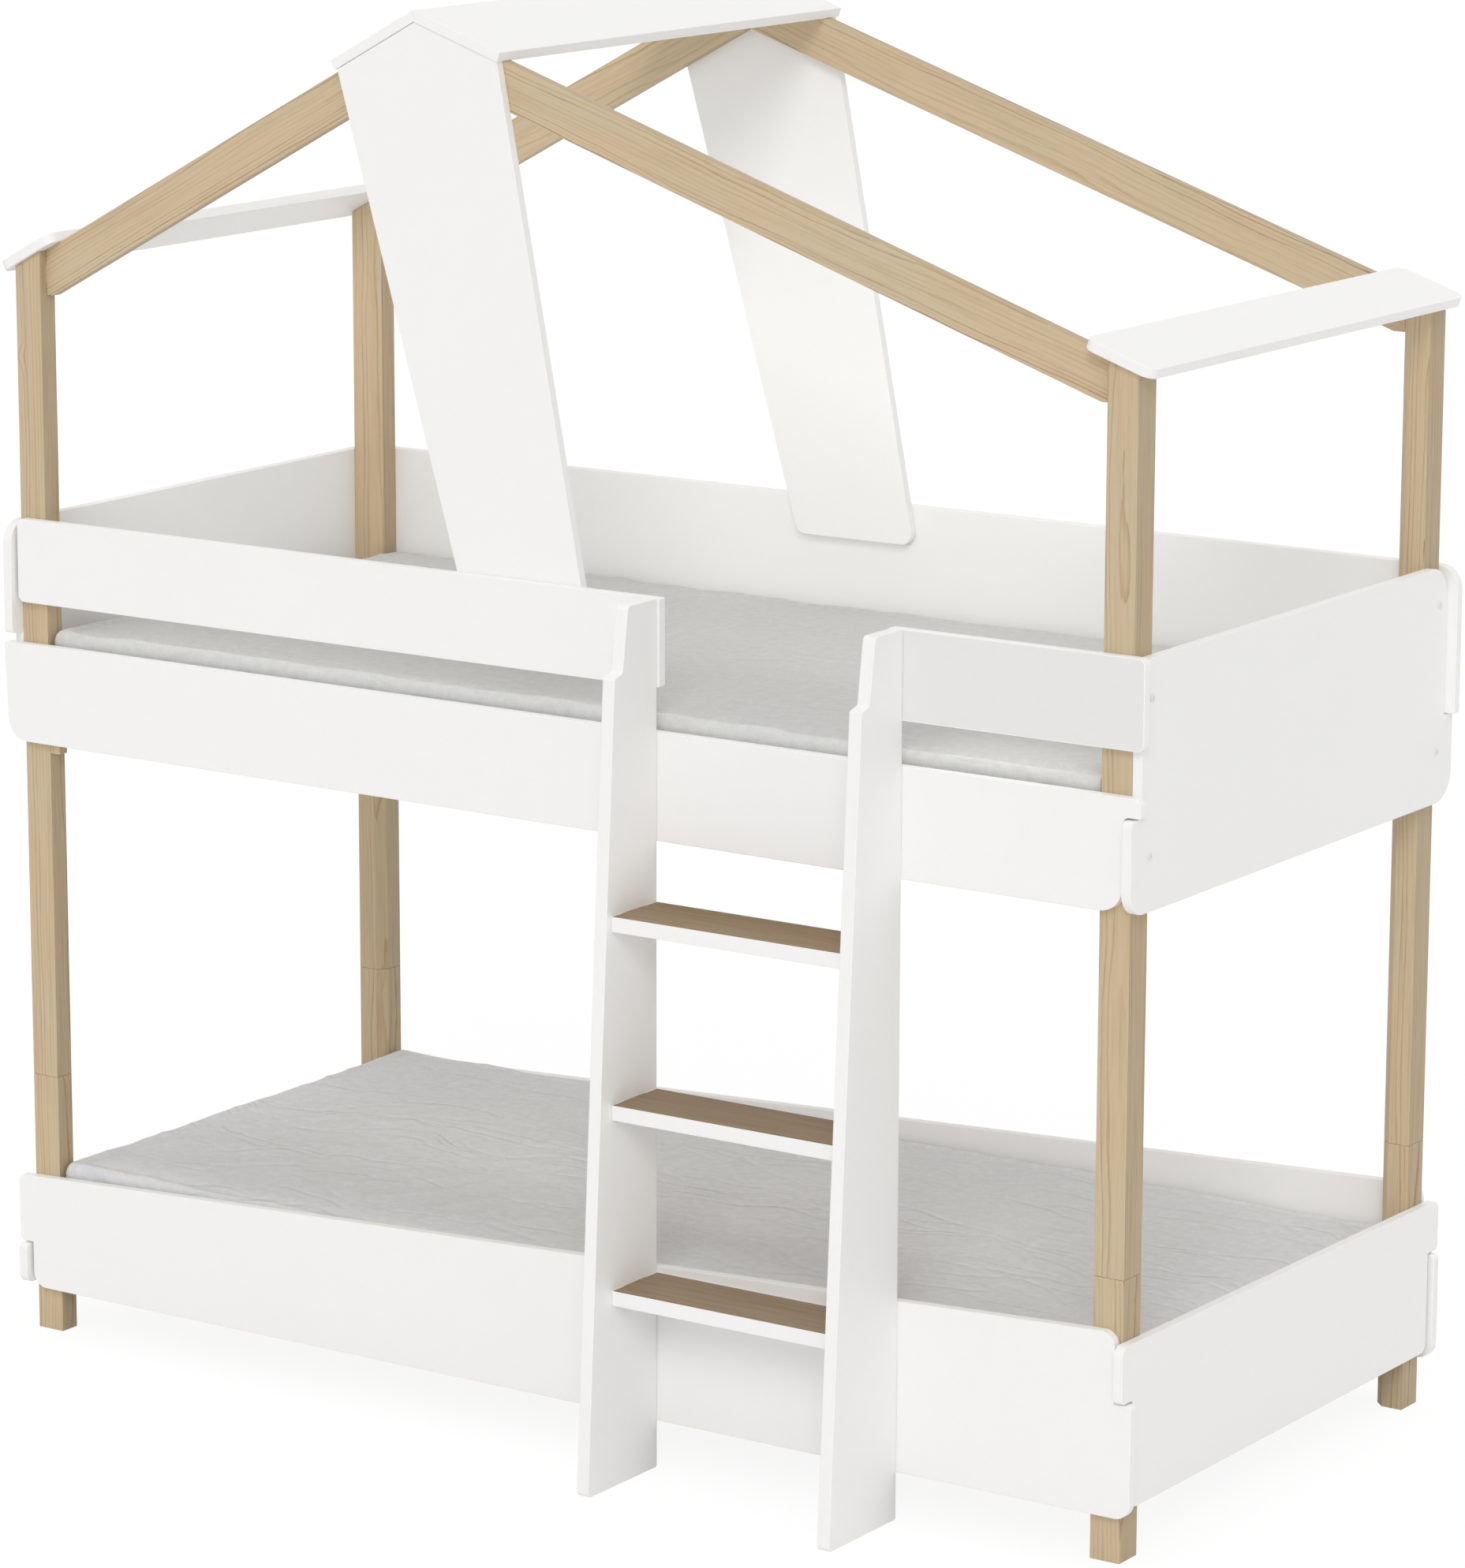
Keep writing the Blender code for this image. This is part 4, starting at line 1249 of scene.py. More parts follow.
@dataclass
class UpperBed(Assembly):
    """The upper bed's boards, which cross at its corners."""

    rail_top: float = 1.173
    left_depth: float = 0.164
    right_depth: float = 0.1735
    left_slant: float = 0.007
    rail_corners: tuple[float, float, float] = (0.006, 0.016, 0.039)
    rail_reach: float = 0.0247
    right_crossing: float = 1.1415
    left_crossing: float = 1.1875
    guard_corner: float = 0.012
    guard_cover: float = 0.0042
    panel_bottom: float = 0.996
    panel_height: float = 0.379
    panel_corners: tuple[float, float, float, float] = (0.026, 0.048, 0.038, 0.050)
    back_bottom: float = 1.000
    back_height: float = 0.374
    back_reach: float = 0.034
    back_corner: float = 0.036

    def build(self) -> None:
        """Makes the rail, the guards, the back panel and the end panels."""
        self.piece("upper_front_rail", side_board(self.rail(), BED.outside), Finish.BOARD)
        heights = (BED.guard_bottom, BED.guard_top)
        corner, square = self.guard_corner, BED.tongue_corner
        ends = (BED.setback, BED.stile_inside(End.LEFT) + self.guard_cover)
        guard = side_board(rectangle(ends, heights, corner, square), BED.outside)
        self.piece("upper_guard_long", guard, Finish.BOARD)
        ends = (BED.stile_inside(End.RIGHT) - self.guard_cover, BED.length + BED.tongue)
        guard = side_board(rectangle(ends, heights, square, corner), BED.outside)
        self.piece("upper_guard_short", guard, Finish.BOARD, Finish.GREYER_BOARD)
        back = side_board(self.back_panel(), BED.width + BED.gap)
        self.piece("upper_back_panel", back, Finish.BOARD)
        right = end_board(self.right_panel(), BED.length + BED.gap)
        self.piece("upper_end_panel_right", right, Finish.BOARD)
        self.piece("upper_end_panel_left", end_board(self.left_panel(), BED.outside), Finish.BOARD)

    def rail(self) -> list[Corner]:
        """The front rail, whose right end passes the end panel with a tongue at its top only.

        Returns:
            Its corners.
        """
        left, right, low = self.rail_corners
        low_left = (-BED.tongue + self.left_slant, self.rail_top - self.left_depth, low)
        low_right = (BED.length - BED.setback, self.rail_top - self.right_depth, low)
        high_left = (-BED.tongue, self.rail_top, left)
        high_right = (BED.length + self.rail_reach, self.rail_top, right)
        step = (self.right_crossing + BED.clearance / 2, BED.fillet, BED.tongue_corner)
        return crossing_board((low_left, low_right), (high_left, high_right), step)

    def back_panel(self) -> list[Corner]:
        """The back panel: its upper part passes the right panel, its lower part the left one.

        Returns:
            Its corners.
        """
        bottom, corner = self.back_bottom, self.back_corner
        top = bottom + self.back_height
        right_step = self.right_crossing - BED.back_drop + BED.clearance / 2
        left_step = self.left_crossing - BED.back_drop - BED.clearance / 2
        return crossing_board(
            ((-self.back_reach, bottom, corner), (BED.length - BED.setback, bottom, corner)),
            ((BED.setback, top, corner), (BED.length + self.back_reach, top, corner)),
            (right_step, BED.fillet, BED.tongue_corner),
            (left_step, BED.tongue_corner, BED.fillet),
        )

    def right_panel(self) -> list[Corner]:
        """The right end panel, whose lower part passes the front rail and the back panel.

        Returns:
            Its corners.
        """
        front_corner, back_corner, low_front, low_back = self.panel_corners
        step, top = self.right_crossing - BED.clearance / 2, self.panel_bottom + self.panel_height
        front, back = -BED.tongue, BED.width + BED.tongue
        return crossing_board(
            ((front, self.panel_bottom, low_front), (back, self.panel_bottom, low_back)),
            ((0, top, front_corner), (BED.width, top, back_corner)),
            (step - BED.back_drop, BED.tongue_corner, 0),
            (step, BED.fillet, 0),
        )

    def left_panel(self) -> list[Corner]:
        """The left end panel, whose upper part passes the guard's end and the back panel.

        Returns:
            Its corners.
        """
        _, back_corner, low_front, low_back = self.panel_corners
        step, top = self.left_crossing + BED.clearance / 2, self.panel_bottom + self.panel_height
        front, back = -BED.tongue, BED.width + BED.tongue
        return crossing_board(
            ((0, self.panel_bottom, low_front), (BED.width, self.panel_bottom, low_back)),
            ((front, top, low_front), (back, top, back_corner)),
            (step - BED.back_drop, 0, BED.tongue_corner),
            (step, 0, BED.fillet),
        )


@dataclass
class LowerBed(Assembly):
    """The lower bed's boards, whose side rails rise to the right."""

    rail_bottom: float = 0.0756
    left_depth: float = 0.1915
    right_depth: float = 0.2888
    left_reach: float = 0.023
    right_reach: float = 0.0247
    corners: tuple[float, float, float] = (0.012, 0.024, 0.026)
    left_crossing: float = 0.1505
    right_crossing: float = 0.2555
    right_bottom: float = 0.089
    right_tops: tuple[float, float] = (0.346, 0.335)
    left_bottom: float = 0.082
    left_height: float = 0.165
    panel_corner: float = 0.016

    def build(self) -> None:
        """Makes the two side rails and the two end panels."""
        front = side_board(self.rail(0.0), BED.outside)
        self.piece("lower_front_rail", front, Finish.BOARD)
        back = side_board(self.rail(BED.back_drop), BED.width + BED.gap)
        self.piece("lower_back_rail", back, Finish.BOARD)
        right = end_board(self.right_panel(), BED.length + BED.gap)
        self.piece("lower_end_panel_right", right, Finish.BOARD)
        self.piece("lower_end_panel_left", end_board(self.left_panel(), BED.outside), Finish.BOARD)

    def rail(self, drop: float) -> list[Corner]:
        """A side rail, with its crossings lower by a drop.

        Args:
            drop: How much lower its crossings are.

        Returns:
            Its corners.
        """
        left_corner, right_corner, foot = self.corners
        left_end, right_end = -self.left_reach, BED.length + self.right_reach
        left_butt, right_butt = BED.setback, BED.length - BED.setback

        def top(x: float) -> float:
            """Height of the rising top edge."""
            rise = self.right_depth - self.left_depth
            return self.rail_bottom + self.left_depth + rise * x / BED.length

        return crossing_board(
            ((left_butt, self.rail_bottom, foot), (right_end, self.rail_bottom, foot)),
            ((left_end, top(left_end), left_corner), (right_butt, top(right_butt), right_corner)),
            (self.right_crossing - drop - BED.clearance / 2, BED.fillet, 0),
            (self.left_crossing - drop + BED.clearance / 2, 0, left_corner),
        )

    def right_panel(self) -> list[Corner]:
        """The right end panel: its upper part passes the rails, and its top falls to the back.

        Returns:
            Its corners.
        """
        step, corner = self.right_crossing + BED.clearance / 2, self.panel_corner
        front_top, back_top = self.right_tops
        inner = BED.width - BED.setback
        return crossing_board(
            ((BED.setback, self.right_bottom, corner), (inner, self.right_bottom, corner)),
            ((-BED.tongue, front_top, corner), (BED.width + BED.tongue, back_top, corner)),
            (step - BED.back_drop, 0, BED.fillet),
            (step, 0, BED.fillet),
        )

    def left_panel(self) -> list[Corner]:
        """The left end panel, whose lower part passes the rails.

        Returns:
            Its corners.
        """
        step, corner = self.left_crossing - BED.clearance / 2, self.panel_corner
        bottom, top = self.left_bottom, self.left_bottom + self.left_height
        return crossing_board(
            ((-BED.tongue, bottom, corner), (BED.width + BED.tongue, bottom, corner)),
            ((BED.setback, top, corner), (BED.width - BED.setback, top, corner)),
            (step - BED.back_drop, BED.fillet, 0),
            (step, BED.fillet, 0),
        )


@dataclass
class Bases(Assembly):
    """Slats on two straps, the ledgers that carry them, and a corner block."""

    slats: int = 12
    slat_width: float = 0.070
    slat_corner: float = 0.004
    slat_arris: float = 0.0025
    end_clearance: float = 0.002
    strap_width: float = 0.030
    strap: float = 0.002
    strap_seat: float = 0.0005
    strap_shares: tuple[float, float] = (0.25, 0.75)
    strap_corner: float = 0.003
    strap_arris: float = 0.0006
    ledger_width: float = 0.020
    ledger_height: float = 0.030
    block: float = 0.020
    block_height: float = 0.0177

    def build(self) -> None:
        """Makes both levels and the block under the upper front ledger's left end."""
        left, right = BED.clear_left, BED.clear_right
        for level in Level:
            top = level.value
            base = Surface.joined(self.slat_row(top) + self.straps(top))
            across = {"grain": Grain.WIDTH.value, "pith": (0.3, 0.02)}
            self.piece(f"slatted_base_{level}", base, Finish.BASE, Finish.STRAP, **across)
            for side, y in ((Side.FRONT, 0.0), (Side.BACK, BED.width - self.ledger_width)):
                high = top - BED.slat - BED.gap
                low = (left, y, high - self.ledger_height)
                ledger = flat_board(low, (right, y + self.ledger_width, high))
                name = f"slat_ledger_{level}_{side}"
                self.piece(name, ledger, Finish.BASE, grain=Grain.LENGTH.value)
        high = Level.UPPER.value - BED.slat - self.ledger_height - 2 * BED.gap
        low = (left, 0.0, high - self.block_height)
        block = flat_board(low, (left + self.block, self.block, high))
        self.piece("corner_block", block, Finish.BASE, grain=Grain.HEIGHT.value)

    def slat_row(self, top: float) -> list[Surface]:
        """The slats across the bed, evenly spaced between the posts.

        Args:
            top: Height of the slats' tops.

        Returns:
            The slats.
        """
        starts = np.linspace(BED.clear_left, BED.clear_right - self.slat_width, self.slats)
        front, back = self.end_clearance, BED.width - self.end_clearance
        rounding = self.slat_corner, self.slat_arris
        return [
            flat_board((x, front, top - BED.slat), (x + self.slat_width, back, top), *rounding)
            for x in starts.tolist()
        ]

    def straps(self, top: float) -> list[Surface]:
        """The two straps under the slats.

        Args:
            top: Height of the slats' tops.

        Returns:
            The straps, as part 1.
        """
        low = top - BED.slat + self.strap_seat - self.strap
        left, right = BED.clear_left + self.slat_width / 2, BED.clear_right - self.slat_width / 2
        half, high = self.strap_width / 2, low + self.strap
        rounding = self.strap_corner, self.strap_arris
        return [
            flat_board((left, y - half, low), (right, y + half, high), *rounding).with_part(1)
            for y in (BED.width * share for share in self.strap_shares)
        ]


@dataclass
class Mattresses(Assembly):
    """Foam mattresses in woven covers, blown up as cloth, with a rolled border and soft folds."""

    thickness: float = 0.140
    end_clearance: float = 0.0010
    side_clearance: float = 0.0030
    start_drop: float = 0.0035
    stand: float = 0.003
    rim: float = 0.016
    squareness: int = 6
    cell: float = 0.016
    pressure: float = 4.0
    stiffness: float = 18.0
    bending: float = 0.6
    cloth_mass: float = 0.25
    spare_cloth: float = 0.02
    cap: float = 0.004
    frames: int = 20
    border: float = 0.028
    border_depth: float = 0.0055
    groove_width: float = 0.010
    groove_sway: float = 0.01
    roll_width: float = 0.009
    roll_share: float = 0.30
    roll_place: float = 0.35
    top_reach: float = 0.016
    top_blend: float = 0.012
    edge_reach: float = 0.05
    side_reach: float = 0.02
    foot_reach: float = 0.03
    sway_rates: tuple[float, float] = (9.0, 24.0)
    edge_sway: tuple[float, float] = (0.0034, 0.0024)
    side_sway: float = 0.0028
    fold_height: float = 0.0036
    fold_runs: tuple[tuple[float, float, float, float], ...] = (
        (0.05, 0.40, 0.075, 0.9),
        (0.90, 0.26, 0.070, 1.0),
        (-0.55, 0.24, 0.060, 0.8),
        (1.45, 0.34, 0.09, 0.8),
    )

    def build(self) -> None:
        """Makes both mattresses, each with a seed for its own folds."""
        # Each cover is a copy of one cloth: darker as painted shade on the upper bed, lighter as
        # painted light on the lower.
        covers = ((Level.UPPER, Finish.UPPER_COVER, 7), (Level.LOWER, Finish.LOWER_COVER, 23))
        for level, cover, seed in covers:
            bottom, back = level.value + BED.gap, BED.width - self.side_clearance
            low = np.array((BED.clear_left + self.end_clearance, self.side_clearance, bottom))
            high = np.array((BED.clear_right - self.end_clearance, back, bottom + self.thickness))
            surface, cloth, border = self.block(low, high)
            body = f"mattress_{level}_body"
            obj = self.piece(f"mattress_{level}", surface, cover, body=body)
            write_attribute(obj.data, "cloth", cloth)
            write_attribute(obj.data, "border", border)
            self.swell(obj)
            self.settle(obj, low + BED.corner, high + BED.corner, seed)

    def stations(self, length: float) -> Array:
        """Shares of a length where grid lines lie: evenly in the middle, closer over each rim.

        Args:
            length: The length.

        Returns:
            The shares.
        """
        near = np.array((0.0, 0.35, 0.7)) * self.rim / length
        count = round((length - 2 * self.rim) / self.cell)
        middle = np.linspace(self.rim / length, 1 - self.rim / length, count + 1)
        return np.concatenate((near, middle, 1 - near[::-1]))

    def block(self, low: Array, high: Array) -> tuple[Surface, Array, Array]:
        """The starting form, a little lower than the space.

        Formula: the six faces of a box as grids; each point is pulled to the box that lies a rim
        inside, and put back a rim away from it. The way back is measured by a high power sideways,
        which keeps the upright edges tight, and by squares up and down, which rounds the others.
        On the flat cover, a point lies as far past the edge as it is below the top.

        Args:
            low: Lowest corner of the space.
            high: Highest corner of the space.

        Returns:
            The surface, each point's place on the flat cover from the middle of the top, and how
            far it belongs to the front border, from 0 to 1.
        """
        high = high - (0.0, 0.0, self.start_drop)
        lines = [self.stations(length) for length in high - low]
        grids = []
        for axis, end in ((axis, end) for axis in range(3) for end in (0, 1)):
            first, second = (axis + 1) % 3, (axis + 2) % 3
            u, v = np.meshgrid(lines[first], lines[second], indexing="ij")
            points = np.empty((*u.shape, 3))
            points[..., axis], points[..., first], points[..., second] = end, u, v
            index = np.arange(u.size).reshape(u.shape)
            ring = (index[:-1, :-1], index[1:, :-1], index[1:, 1:], index[:-1, 1:])
            quads = np.stack(ring if end else ring[::-1], axis=-1).reshape(-1, 4)
            grids.append((points.reshape(-1, 3), quads))
        starts = np.cumsum([0] + [len(points) for points, _ in grids])
        points = np.concatenate([points for points, _ in grids])
        quads = np.concatenate([quads + start for (_, quads), start in zip(grids, starts)])
        shares, index = np.unique(points.round(9), axis=0, return_inverse=True)
        quads = index.reshape(-1)[quads]
        points = low + shares * (high - low)
        inner = np.clip(points, low + self.rim, high - self.rim)
        away = points - inner
        level = np.linalg.norm(away[:, :2] / self.rim, ord=self.squareness, axis=1) * self.rim
        away /= np.maximum(np.hypot(level, away[:, 2]), 1e-9)[:, None]
        points = inner + away * self.rim
        cloth = points - (low + high) / 2 + away * (high[2] - points[:, 2:])
        cloth[:, 2] = 0.0
        # How far each point lies in the front border, where the cover's finish paints light.
        border = np.clip((self.border - points[:, 1] + low[1]) / self.rim, 0, 1)
        return Surface.soft(points, quads.tolist()), cloth, border

    def swell(self, obj: bpy.types.Object) -> None:
        """Blows the cover up as cloth with some cloth to spare, and keeps the result.

        Formula: no point moves further than the cap from where it started.

        Args:
            obj: The mattress.
        """
        mesh, scene = obj.data, bpy.context.scene
        start = points_of(mesh)
        modifier = obj.modifiers.new("Cover", "CLOTH")
        settings = modifier.settings
        settings.quality = 4
        settings.mass = self.cloth_mass
        settings.tension_stiffness = self.stiffness
        settings.compression_stiffness = self.stiffness
        settings.bending_stiffness = self.bending
        settings.use_pressure = True
        settings.uniform_pressure_force = self.pressure
        settings.shrink_min = -self.spare_cloth
        settings.effector_weights.gravity = 0
        for number in range(1, self.frames + 1):
            scene.frame_set(number)
        blown = points_of(obj.evaluated_get(bpy.context.evaluated_depsgraph_get()).data)
        obj.modifiers.remove(modifier)
        scene.frame_set(1)
        moved = blown - start
        length = np.linalg.norm(moved, axis=1)[:, None]
        moved *= self.cap * np.tanh(length / self.cap) / np.maximum(length, 1e-9)
        mesh.vertices.foreach_set("co", (start + moved).ravel())
        mesh.update()

    def settle(self, obj: bpy.types.Object, low: Array, high: Array, seed: int) -> None:
        """Subdivides the cover once, presses in the border, folds the top and rests it in place.

        Formula: the border's groove is a bell curve of the distance from the nearest side, and
        its roll another between the groove and the side. The sides sway in and out a little.

        Args:
            obj: The mattress.
            low: Lowest corner of its space in the frame.
            high: Highest corner of its space in the frame.
            seed: Number that its noise comes from.
        """
        modifier = obj.modifiers.new("Round", "SUBSURF")
        modifier.levels = modifier.render_levels = 1
        graph = bpy.context.evaluated_depsgraph_get()
        mesh = bpy.data.meshes.new_from_object(
            obj.evaluated_get(graph), preserve_all_data_layers=True, depsgraph=graph
        )
        obj.modifiers.remove(modifier)
        obj.data = mesh
        points = points_of(mesh)
        x, y, z = points.T
        up = np.clip((z - high[2] + self.top_reach) / self.top_blend, 0, 1)
        inside = np.minimum(points - low, high - points)[:, :2].min(axis=1)
        sway, fine = (
            noise_field(seed + number)(x * rate + 30, y * rate + 30) - 0.5
            for number, rate in enumerate(self.sway_rates, start=5)
        )
        swayed = inside - self.border - self.groove_sway * sway
        groove = np.exp(-((swayed / self.groove_width) ** 2))
        roll = np.exp(-(((inside - self.border * self.roll_place) / self.roll_width) ** 2))
        pressed = self.border_depth * (self.roll_share * roll - groove)
        z = z + up * (pressed + self.folds(x, y, seed))
        edge = self.edge_sway[0] * sway + self.edge_sway[1] * fine
        z += np.clip(1 - inside / self.edge_reach, 0, 1) * up * edge
        sides = np.clip(1 - inside / self.side_reach, 0, 1)
        sides *= np.clip((z - low[2]) / self.foot_reach, 0, 1)
        out = np.sign(y - (low[1] + high[1]) / 2)
        y = y - out * sides * (0.5 + sway + 0.8 * fine) * self.side_sway
        points = np.clip(np.stack((x, y, z), axis=1), low, high + (0, 0, self.stand))
        mesh.vertices.foreach_set("co", points.ravel())
        mesh.polygons.foreach_set("use_smooth", np.ones(len(mesh.polygons), bool))
        mesh.update()

    def folds(self, x: Array, y: Array, seed: int) -> Array:
        """Height of the soft folds at each point of the top: stretched ridges in four directions.

        Formula: a run of folds has an angle, a length, a width and a height; its ridges lie where
        stretched noise passes its middle value, and other noise says where they show.

        Args:
            x: Places along the bed.
            y: Places across it.
            seed: Number that the noise comes from.

        Returns:
            The height at each place.
        """
        bend = noise_field(seed)(x * 4 + 20, y * 4 + 20)
        total = np.zeros_like(x)
        for number, (angle, length, width, height) in enumerate(self.fold_runs):
            along = (x * math.cos(angle) + y * math.sin(angle)) / length
            across = (y * math.cos(angle) - x * math.sin(angle)) / width
            first = seed + 11 * number + 1
            value = noise_field(first)(along + bend + 32, across + 1.5 * bend + 32)
            ridge = (1 - np.abs(2 * value - 1)) ** 3
            patch = noise_field(first + 1)(x * 2.6 + 20, y * 2.6 + 20)
            total += height * ridge * np.clip(patch * 2.0 - 0.5, 0, 1)
        return self.fold_height * (total - 0.5)


@dataclass
class Ladder(Assembly):
    """Two stiles with a sloping front, and three treads housed in them."""

    stile_arris: float = 0.0016
    shoulder_reach: float = 0.1285
    shoulder_height: float = 1.273
    shoulder_rise: float = 0.006
    neck_reach: float = 0.1074
    head_reach: float = 0.0926
    foot_corner: float = 0.009
    small_corner: float = 0.004
    tread_tops: tuple[float, float, float] = (0.316945, 0.611954, 0.908019)
    tread: float = 0.0235
    tread_front: float = 0.139
    tread_clearance: float = 0.0004
    tab_length: float = 0.010
    tab_width: float = 0.060

    def build(self) -> None:
        """Makes the stiles and the treads, whose tops alone are stained."""
        for end in End:
            x = BED.stile_inside(end) - (BED.stile if end is End.LEFT else 0)
            stile = end_board(self.stile(), x, BED.stile, arris=self.stile_arris)
            self.piece(f"ladder_stile_{end}", stile, Finish.BOARD)
        parts = (Finish.BOARD, Finish.BOARD, Finish.TREAD)
        for number, top in enumerate(self.tread_tops, start=1):
            grain = {"grain": Grain.LENGTH.value, "pith": (0.02, 0.07)}
            self.piece(f"ladder_tread_{number}", self.tread_board(top), *parts, **grain)

    @property
    def back(self) -> float:
        """Place of the stiles' back edge."""
        return -2 * BED.gap - BED.board

    def stile(self) -> list[Corner]:
        """A stile with a wide foot, a sloping shoulder and a narrow head."""
        return [
            (-BED.stile_reach, 0, self.foot_corner),
            (self.back, 0, self.small_corner),
            (self.back, BED.guard_top, self.small_corner),
            (-self.head_reach, BED.guard_top, self.foot_corner),
            (-self.neck_reach, self.shoulder_height + self.shoulder_rise, self.small_corner),
            (-self.shoulder_reach, self.shoulder_height, self.small_corner),
        ]

    def tread_board(self, top: float) -> Surface:
        """A tread between the stiles, with a tab at each end in a housing of the stile.

        Args:
            top: Height of its top.

        Returns:
            The surface.
        """
        front, back = -self.tread_front, self.back - self.tread_clearance
        left, right = BED.stile_inside(End.LEFT) + BED.gap, BED.stile_inside(End.RIGHT) - BED.gap
        middle, half, tab = (front + back) / 2, self.tab_width / 2, self.tab_length
        near, far = middle - half, middle + half
        edge = [(0, front), (0, near), (tab, near), (tab, far), (0, far), (0, back)]
        corners = [(right + out, y, 0) for out, y in edge]
        corners += [(left - out, y, 0) for out, y in reversed(edge)]
        surface = slab(corners, self.tread, arris=0.0008, least=0.0012)
        return surface.placed((0, 0, top - self.tread / 2), Facing.FLAT.axes)


@dataclass
class Bolts(Assembly):
    """Domed bolts with a hexagonal socket: two in each upper post, two in each stile."""

    head: float = 0.006
    head_height: float = 0.0025
    shank: float = 0.003
    tip: float = 0.0008
    tip_share: float = 0.75
    socket: float = 0.0020
    socket_floor: float = 0.0008
    floor_share: float = 0.9
    floor_rise: float = 0.0001
    lip: tuple[tuple[float, float], ...] = ((1.0, 0.90), (1.08, 0.97))
    dome_start: float = 1.25
    dome_rings: int = 8
    sides: int = 36
    panel_grip: float = 0.025
    ladder_grip: float = 0.030
    panel_heights: tuple[float, float] = (1.315, 1.0805)
    ladder_heights: tuple[float, float] = (1.288, 1.108)

    def build(self) -> None:
        """Makes the panels' bolts and the ladder's."""
        rows = ("high", "low")
        for end in End:
            face = 0.0 if end is End.LEFT else BED.length
            x = face + end.value * (BED.board + 2 * BED.gap)
            for side in Side:
                _, y = BED.post_middle(end, side)
                for row, z in zip(rows, self.panel_heights):
                    turn = (0, end.value * math.pi / 2, 0)
                    bolt = self.bolt((x, y, z), turn, self.panel_grip)
                    self.piece(f"panel_bolt_{side}_{end}_{row}", bolt, Finish.WHITE_BOLT)
        for end in End:
            x = BED.stile_inside(end) + end.value * BED.stile / 2
            for row, z in zip(rows, self.ladder_heights):
                bolt = self.bolt((x, 0.0, z), (-math.pi / 2, 0, 0), self.ladder_grip)
                self.piece(f"ladder_bolt_{end}_{row}", bolt, Finish.STEEL_BOLT)

    def bolt(self, seat: Sequence[float], turn: Sequence[float], grip: float) -> Surface:
        """A bolt whose head rests at its seat, with a hexagonal socket in the dome.

        Formula: the socket's floor and lip, then a dome that falls off as the cosine of an angle
        while it widens as the sine, then the shank with a narrower tip.

        Args:
            seat: Middle of the head's underside.
            turn: Its turn about each axis, from upright.
            grip: How far it goes in past the board.

        Returns:
            The bolt's surface.
        """
        length = BED.board + 2 * BED.gap + grip
        socket, floor, top = self.socket, self.socket_floor, self.head_height
        start = math.asin(socket * self.dome_start / self.head)
        dome = np.linspace(start, math.pi / 2, self.dome_rings)
        hollow = ((socket * self.floor_share, floor), (socket, floor + self.floor_rise))
        lip = [(socket * wide, top * high) for wide, high in self.lip]
        end = (self.shank * self.tip_share, -length)
        shank = ((self.shank, 0.0), (self.shank, self.tip - length), end)
        cap = np.stack((self.head * np.sin(dome), top * np.cos(dome)), axis=1)
        rings = np.concatenate((hollow, lip, cap, shank))
        surface = turned(rings, self.sides, self.hexagon, 3)
        return surface.placed(seat, np.array(Euler(turn).to_matrix()).T)

    @staticmethod
    def hexagon(angle: Array) -> Array:
        """A hexagon's radius at each angle, as a share of its corners' radius."""
        sixth = math.pi / 3
        return math.cos(sixth / 2) / np.cos(np.mod(angle, sixth) - sixth / 2)


# The studio


@dataclass(frozen=True)
class Sun:
    """A distant soft lamp, given by the direction that it shines from."""

    name: str
    source: Direction
    power: float
    spread: float

    def build(self) -> None:
        """Makes the lamp."""
        data = bpy.data.lights.new(self.name, "SUN")
        data.energy, data.angle = self.power, self.spread
        in_scene(self.name, data, Vector(self.source).to_track_quat("Z", "Y").to_matrix().to_4x4())


@dataclass(frozen=True)
class Softbox:
    """A long, soft lamp that is not seen itself, placed from the bed's measuring corner."""

    name: str
    place: Corner
    towards: Direction
    size: tuple[float, float]
    power: float
    spread: float = math.radians(110)

    def build(self) -> None:
        """Makes the lamp, facing its direction with its length along the bed."""
        data = bpy.data.lights.new(self.name, "AREA")
        data.shape = "RECTANGLE"
        data.size, data.size_y = self.size
        data.energy, data.spread = self.power, self.spread
        turn = Vector(self.towards).to_track_quat("-Z", "Y").to_matrix().to_4x4()
        place = Matrix.Translation((np.array(self.place) + BED.corner).tolist())
        in_scene(self.name, data, place @ turn).visible_camera = False


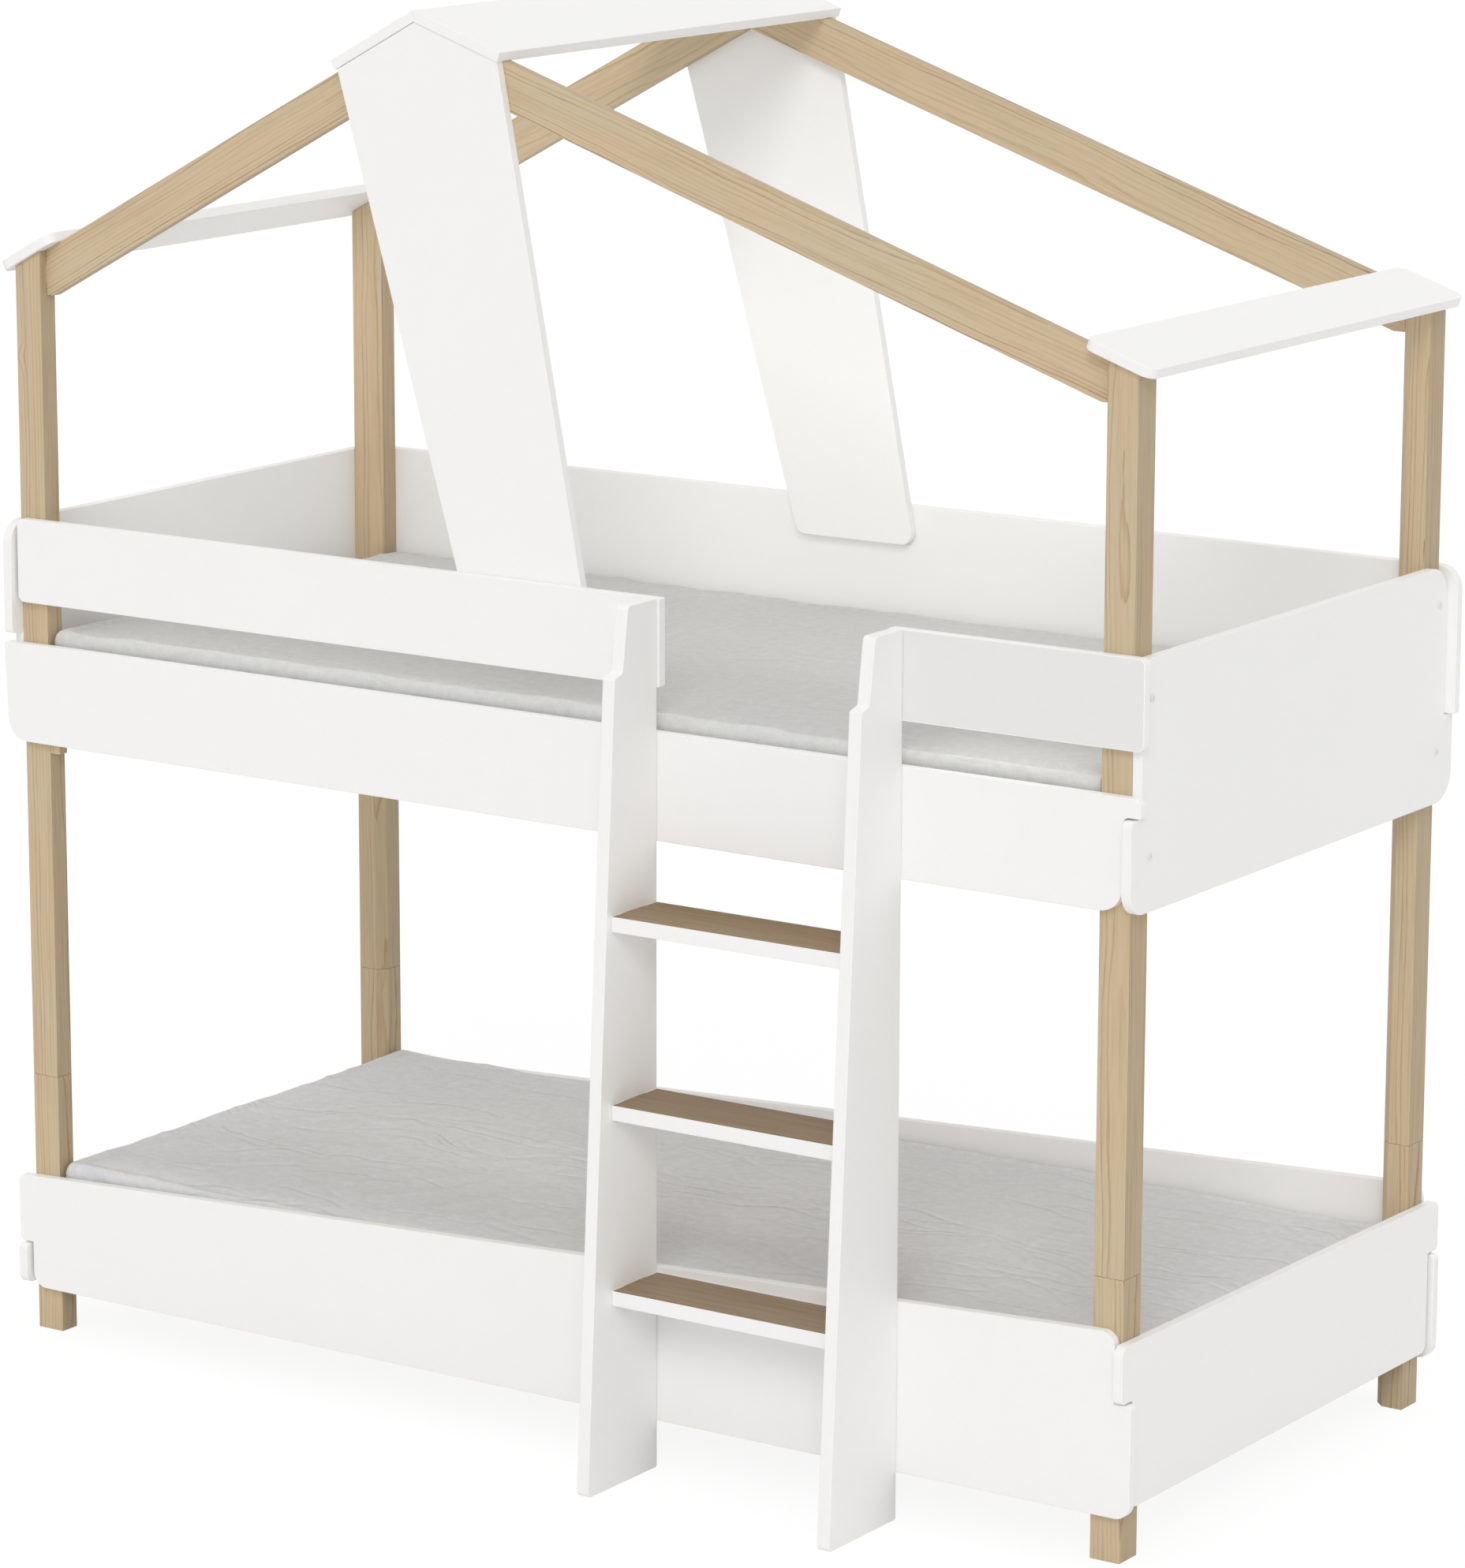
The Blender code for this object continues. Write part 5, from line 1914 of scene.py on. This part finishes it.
@dataclass
class Studio:
    """The camera at the photograph's angle, the pale floor and the soft lights."""

    eye: tuple[float, float, float] = (5.3775, -7.8525, 3.0522)
    yaw: float = 0.6017
    pitch: float = -0.2144
    roll: float = 0.0003
    focal: float = 7702.75
    centre: tuple[float, float] = (858.07, 1004.32)
    picture: tuple[int, int] = (1857, 1988)
    sensor: float = 36.0
    sight: float = 200.0
    lamps: tuple[Sun | Softbox, ...] = (
        Sun("front_lamp", (0.395, -0.715, 0.577), 0.85, math.radians(24)),
        Sun("top_lamp", (0.0, 0.0, 1.0), 0.45, math.radians(50)),
        Softbox("upper_fill", (0.90, 0.06, 1.50), (0.0, 1.0, 0.05), (1.8, 0.12), 1.0),
        Softbox("lower_fill", (1.05, 0.06, 0.90), (0.0, 1.0, -0.5), (1.8, 0.12), 1.05),
        Softbox("left_strip", (0.62, 0.035, 1.36), (0.0, 0.25, -1.0), (1.15, 0.05), 0.12),
        Softbox("right_strip", (1.89, 0.035, 1.36), (0.0, 0.25, -1.0), (0.34, 0.05), 0.08),
    )
    world_light: float = 0.615
    floor_half: float = 60.0
    floor_white: float = 0.88
    floor_colour: float = 0.95
    floor_glow: float = 1.03

    def build(self) -> None:
        """Sets the view transform and makes the camera, the floor, the world and the lamps."""
        bpy.context.scene.view_settings.view_transform = "Standard"
        self.camera()
        self.floor()
        self.world()
        for lamp in self.lamps:
            lamp.build()
        log.info("Studio: camera, floor, world and %d lamps", len(self.lamps))

    def camera(self) -> None:
        """Places the camera, turned by yaw, pitch and roll and shifted to the picture's centre."""
        width, height = self.picture
        data = bpy.data.cameras.new("camera")
        data.sensor_width = self.sensor
        data.lens = self.focal / height * self.sensor
        data.shift_x = (width / 2 - self.centre[0]) / height
        data.shift_y = (self.centre[1] - height / 2) / height
        data.clip_end = self.sight
        turn = Matrix.Rotation(self.yaw, 4, "Z") @ Matrix.Rotation(math.pi / 2 + self.pitch, 4, "X")
        place = Matrix.Translation(self.eye) @ turn @ Matrix.Rotation(self.roll, 4, "Z")
        bpy.context.scene.camera = in_scene("camera", data, place)

    def seen_straight(self, recipe: Recipe) -> Value:
        """A value of 1 for what the camera, a reflection or glass sees.

        Args:
            recipe: The material or world that needs it.

        Returns:
            The value.
        """
        kinds = ("Is Camera Ray", "Is Glossy Ray", "Is Transmission Ray")
        seen, *others = (recipe.value("LightPath", kind) for kind in kinds)
        for other in others:
            seen = seen.apply("MAXIMUM", other)
        return seen

    def floor(self) -> None:
        """A wide floor that lights the bed from below, keeps its shadow and shows nearly white."""
        half = self.floor_half
        points = [(-half, -half, 0), (half, -half, 0), (half, half, 0), (-half, half, 0)]
        mesh = bpy.data.meshes.new("floor")
        mesh.from_pydata(points, [], [(0, 1, 2, 3)])
        floor = in_scene("floor", mesh)
        recipe = Recipe(bpy.data.materials.new("floor_paper"))
        paper = (*[self.floor_colour] * 3, 1.0)
        mesh.materials.append(
            recipe.shade(Base_Color=paper, Roughness=0.9, Specular_IOR_Level=0.0)
        )
        glow = {"Color": (1, 1, 1, 1), "Strength": self.floor_glow}
        shares = {
            0: self.seen_straight(recipe) * self.floor_white,
            1: Value(recipe, recipe.shader.outputs[0]),
            2: recipe.value("Emission", 0, glow),
        }
        surface = recipe.nodes["Material Output"].inputs["Surface"]
        recipe.feed(surface, recipe.value("MixShader", 0, shares))

    def world(self) -> None:
        """An even white world, plain to the camera and softer as light."""
        recipe = Recipe(bpy.data.worlds.new("studio"))
        light = {0: self.seen_straight(recipe), 3: self.world_light, 4: 1.0}
        strength = recipe.value("MapRange", 0, light)
        bpy.context.scene.world = recipe.shade(Color=(1, 1, 1, 1), Strength=strength)


def main() -> None:
    """Builds the studio and the bed, and reports each piece."""
    logging.basicConfig(level=logging.INFO, format="%(name)s: %(message)s")
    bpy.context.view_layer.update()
    Studio().build()
    bed = (Posts(), Roof(), UpperBed(), LowerBed(), Bases(), Ladder(), Bolts(), Mattresses())
    for assembly in bed:
        assembly.build()
        for piece in assembly.pieces:
            faces = len(piece.data.polygons)
            log.info("%s: %s with %d faces", type(assembly).__name__, piece.name, faces)


if __name__ == "__main__":
    main()
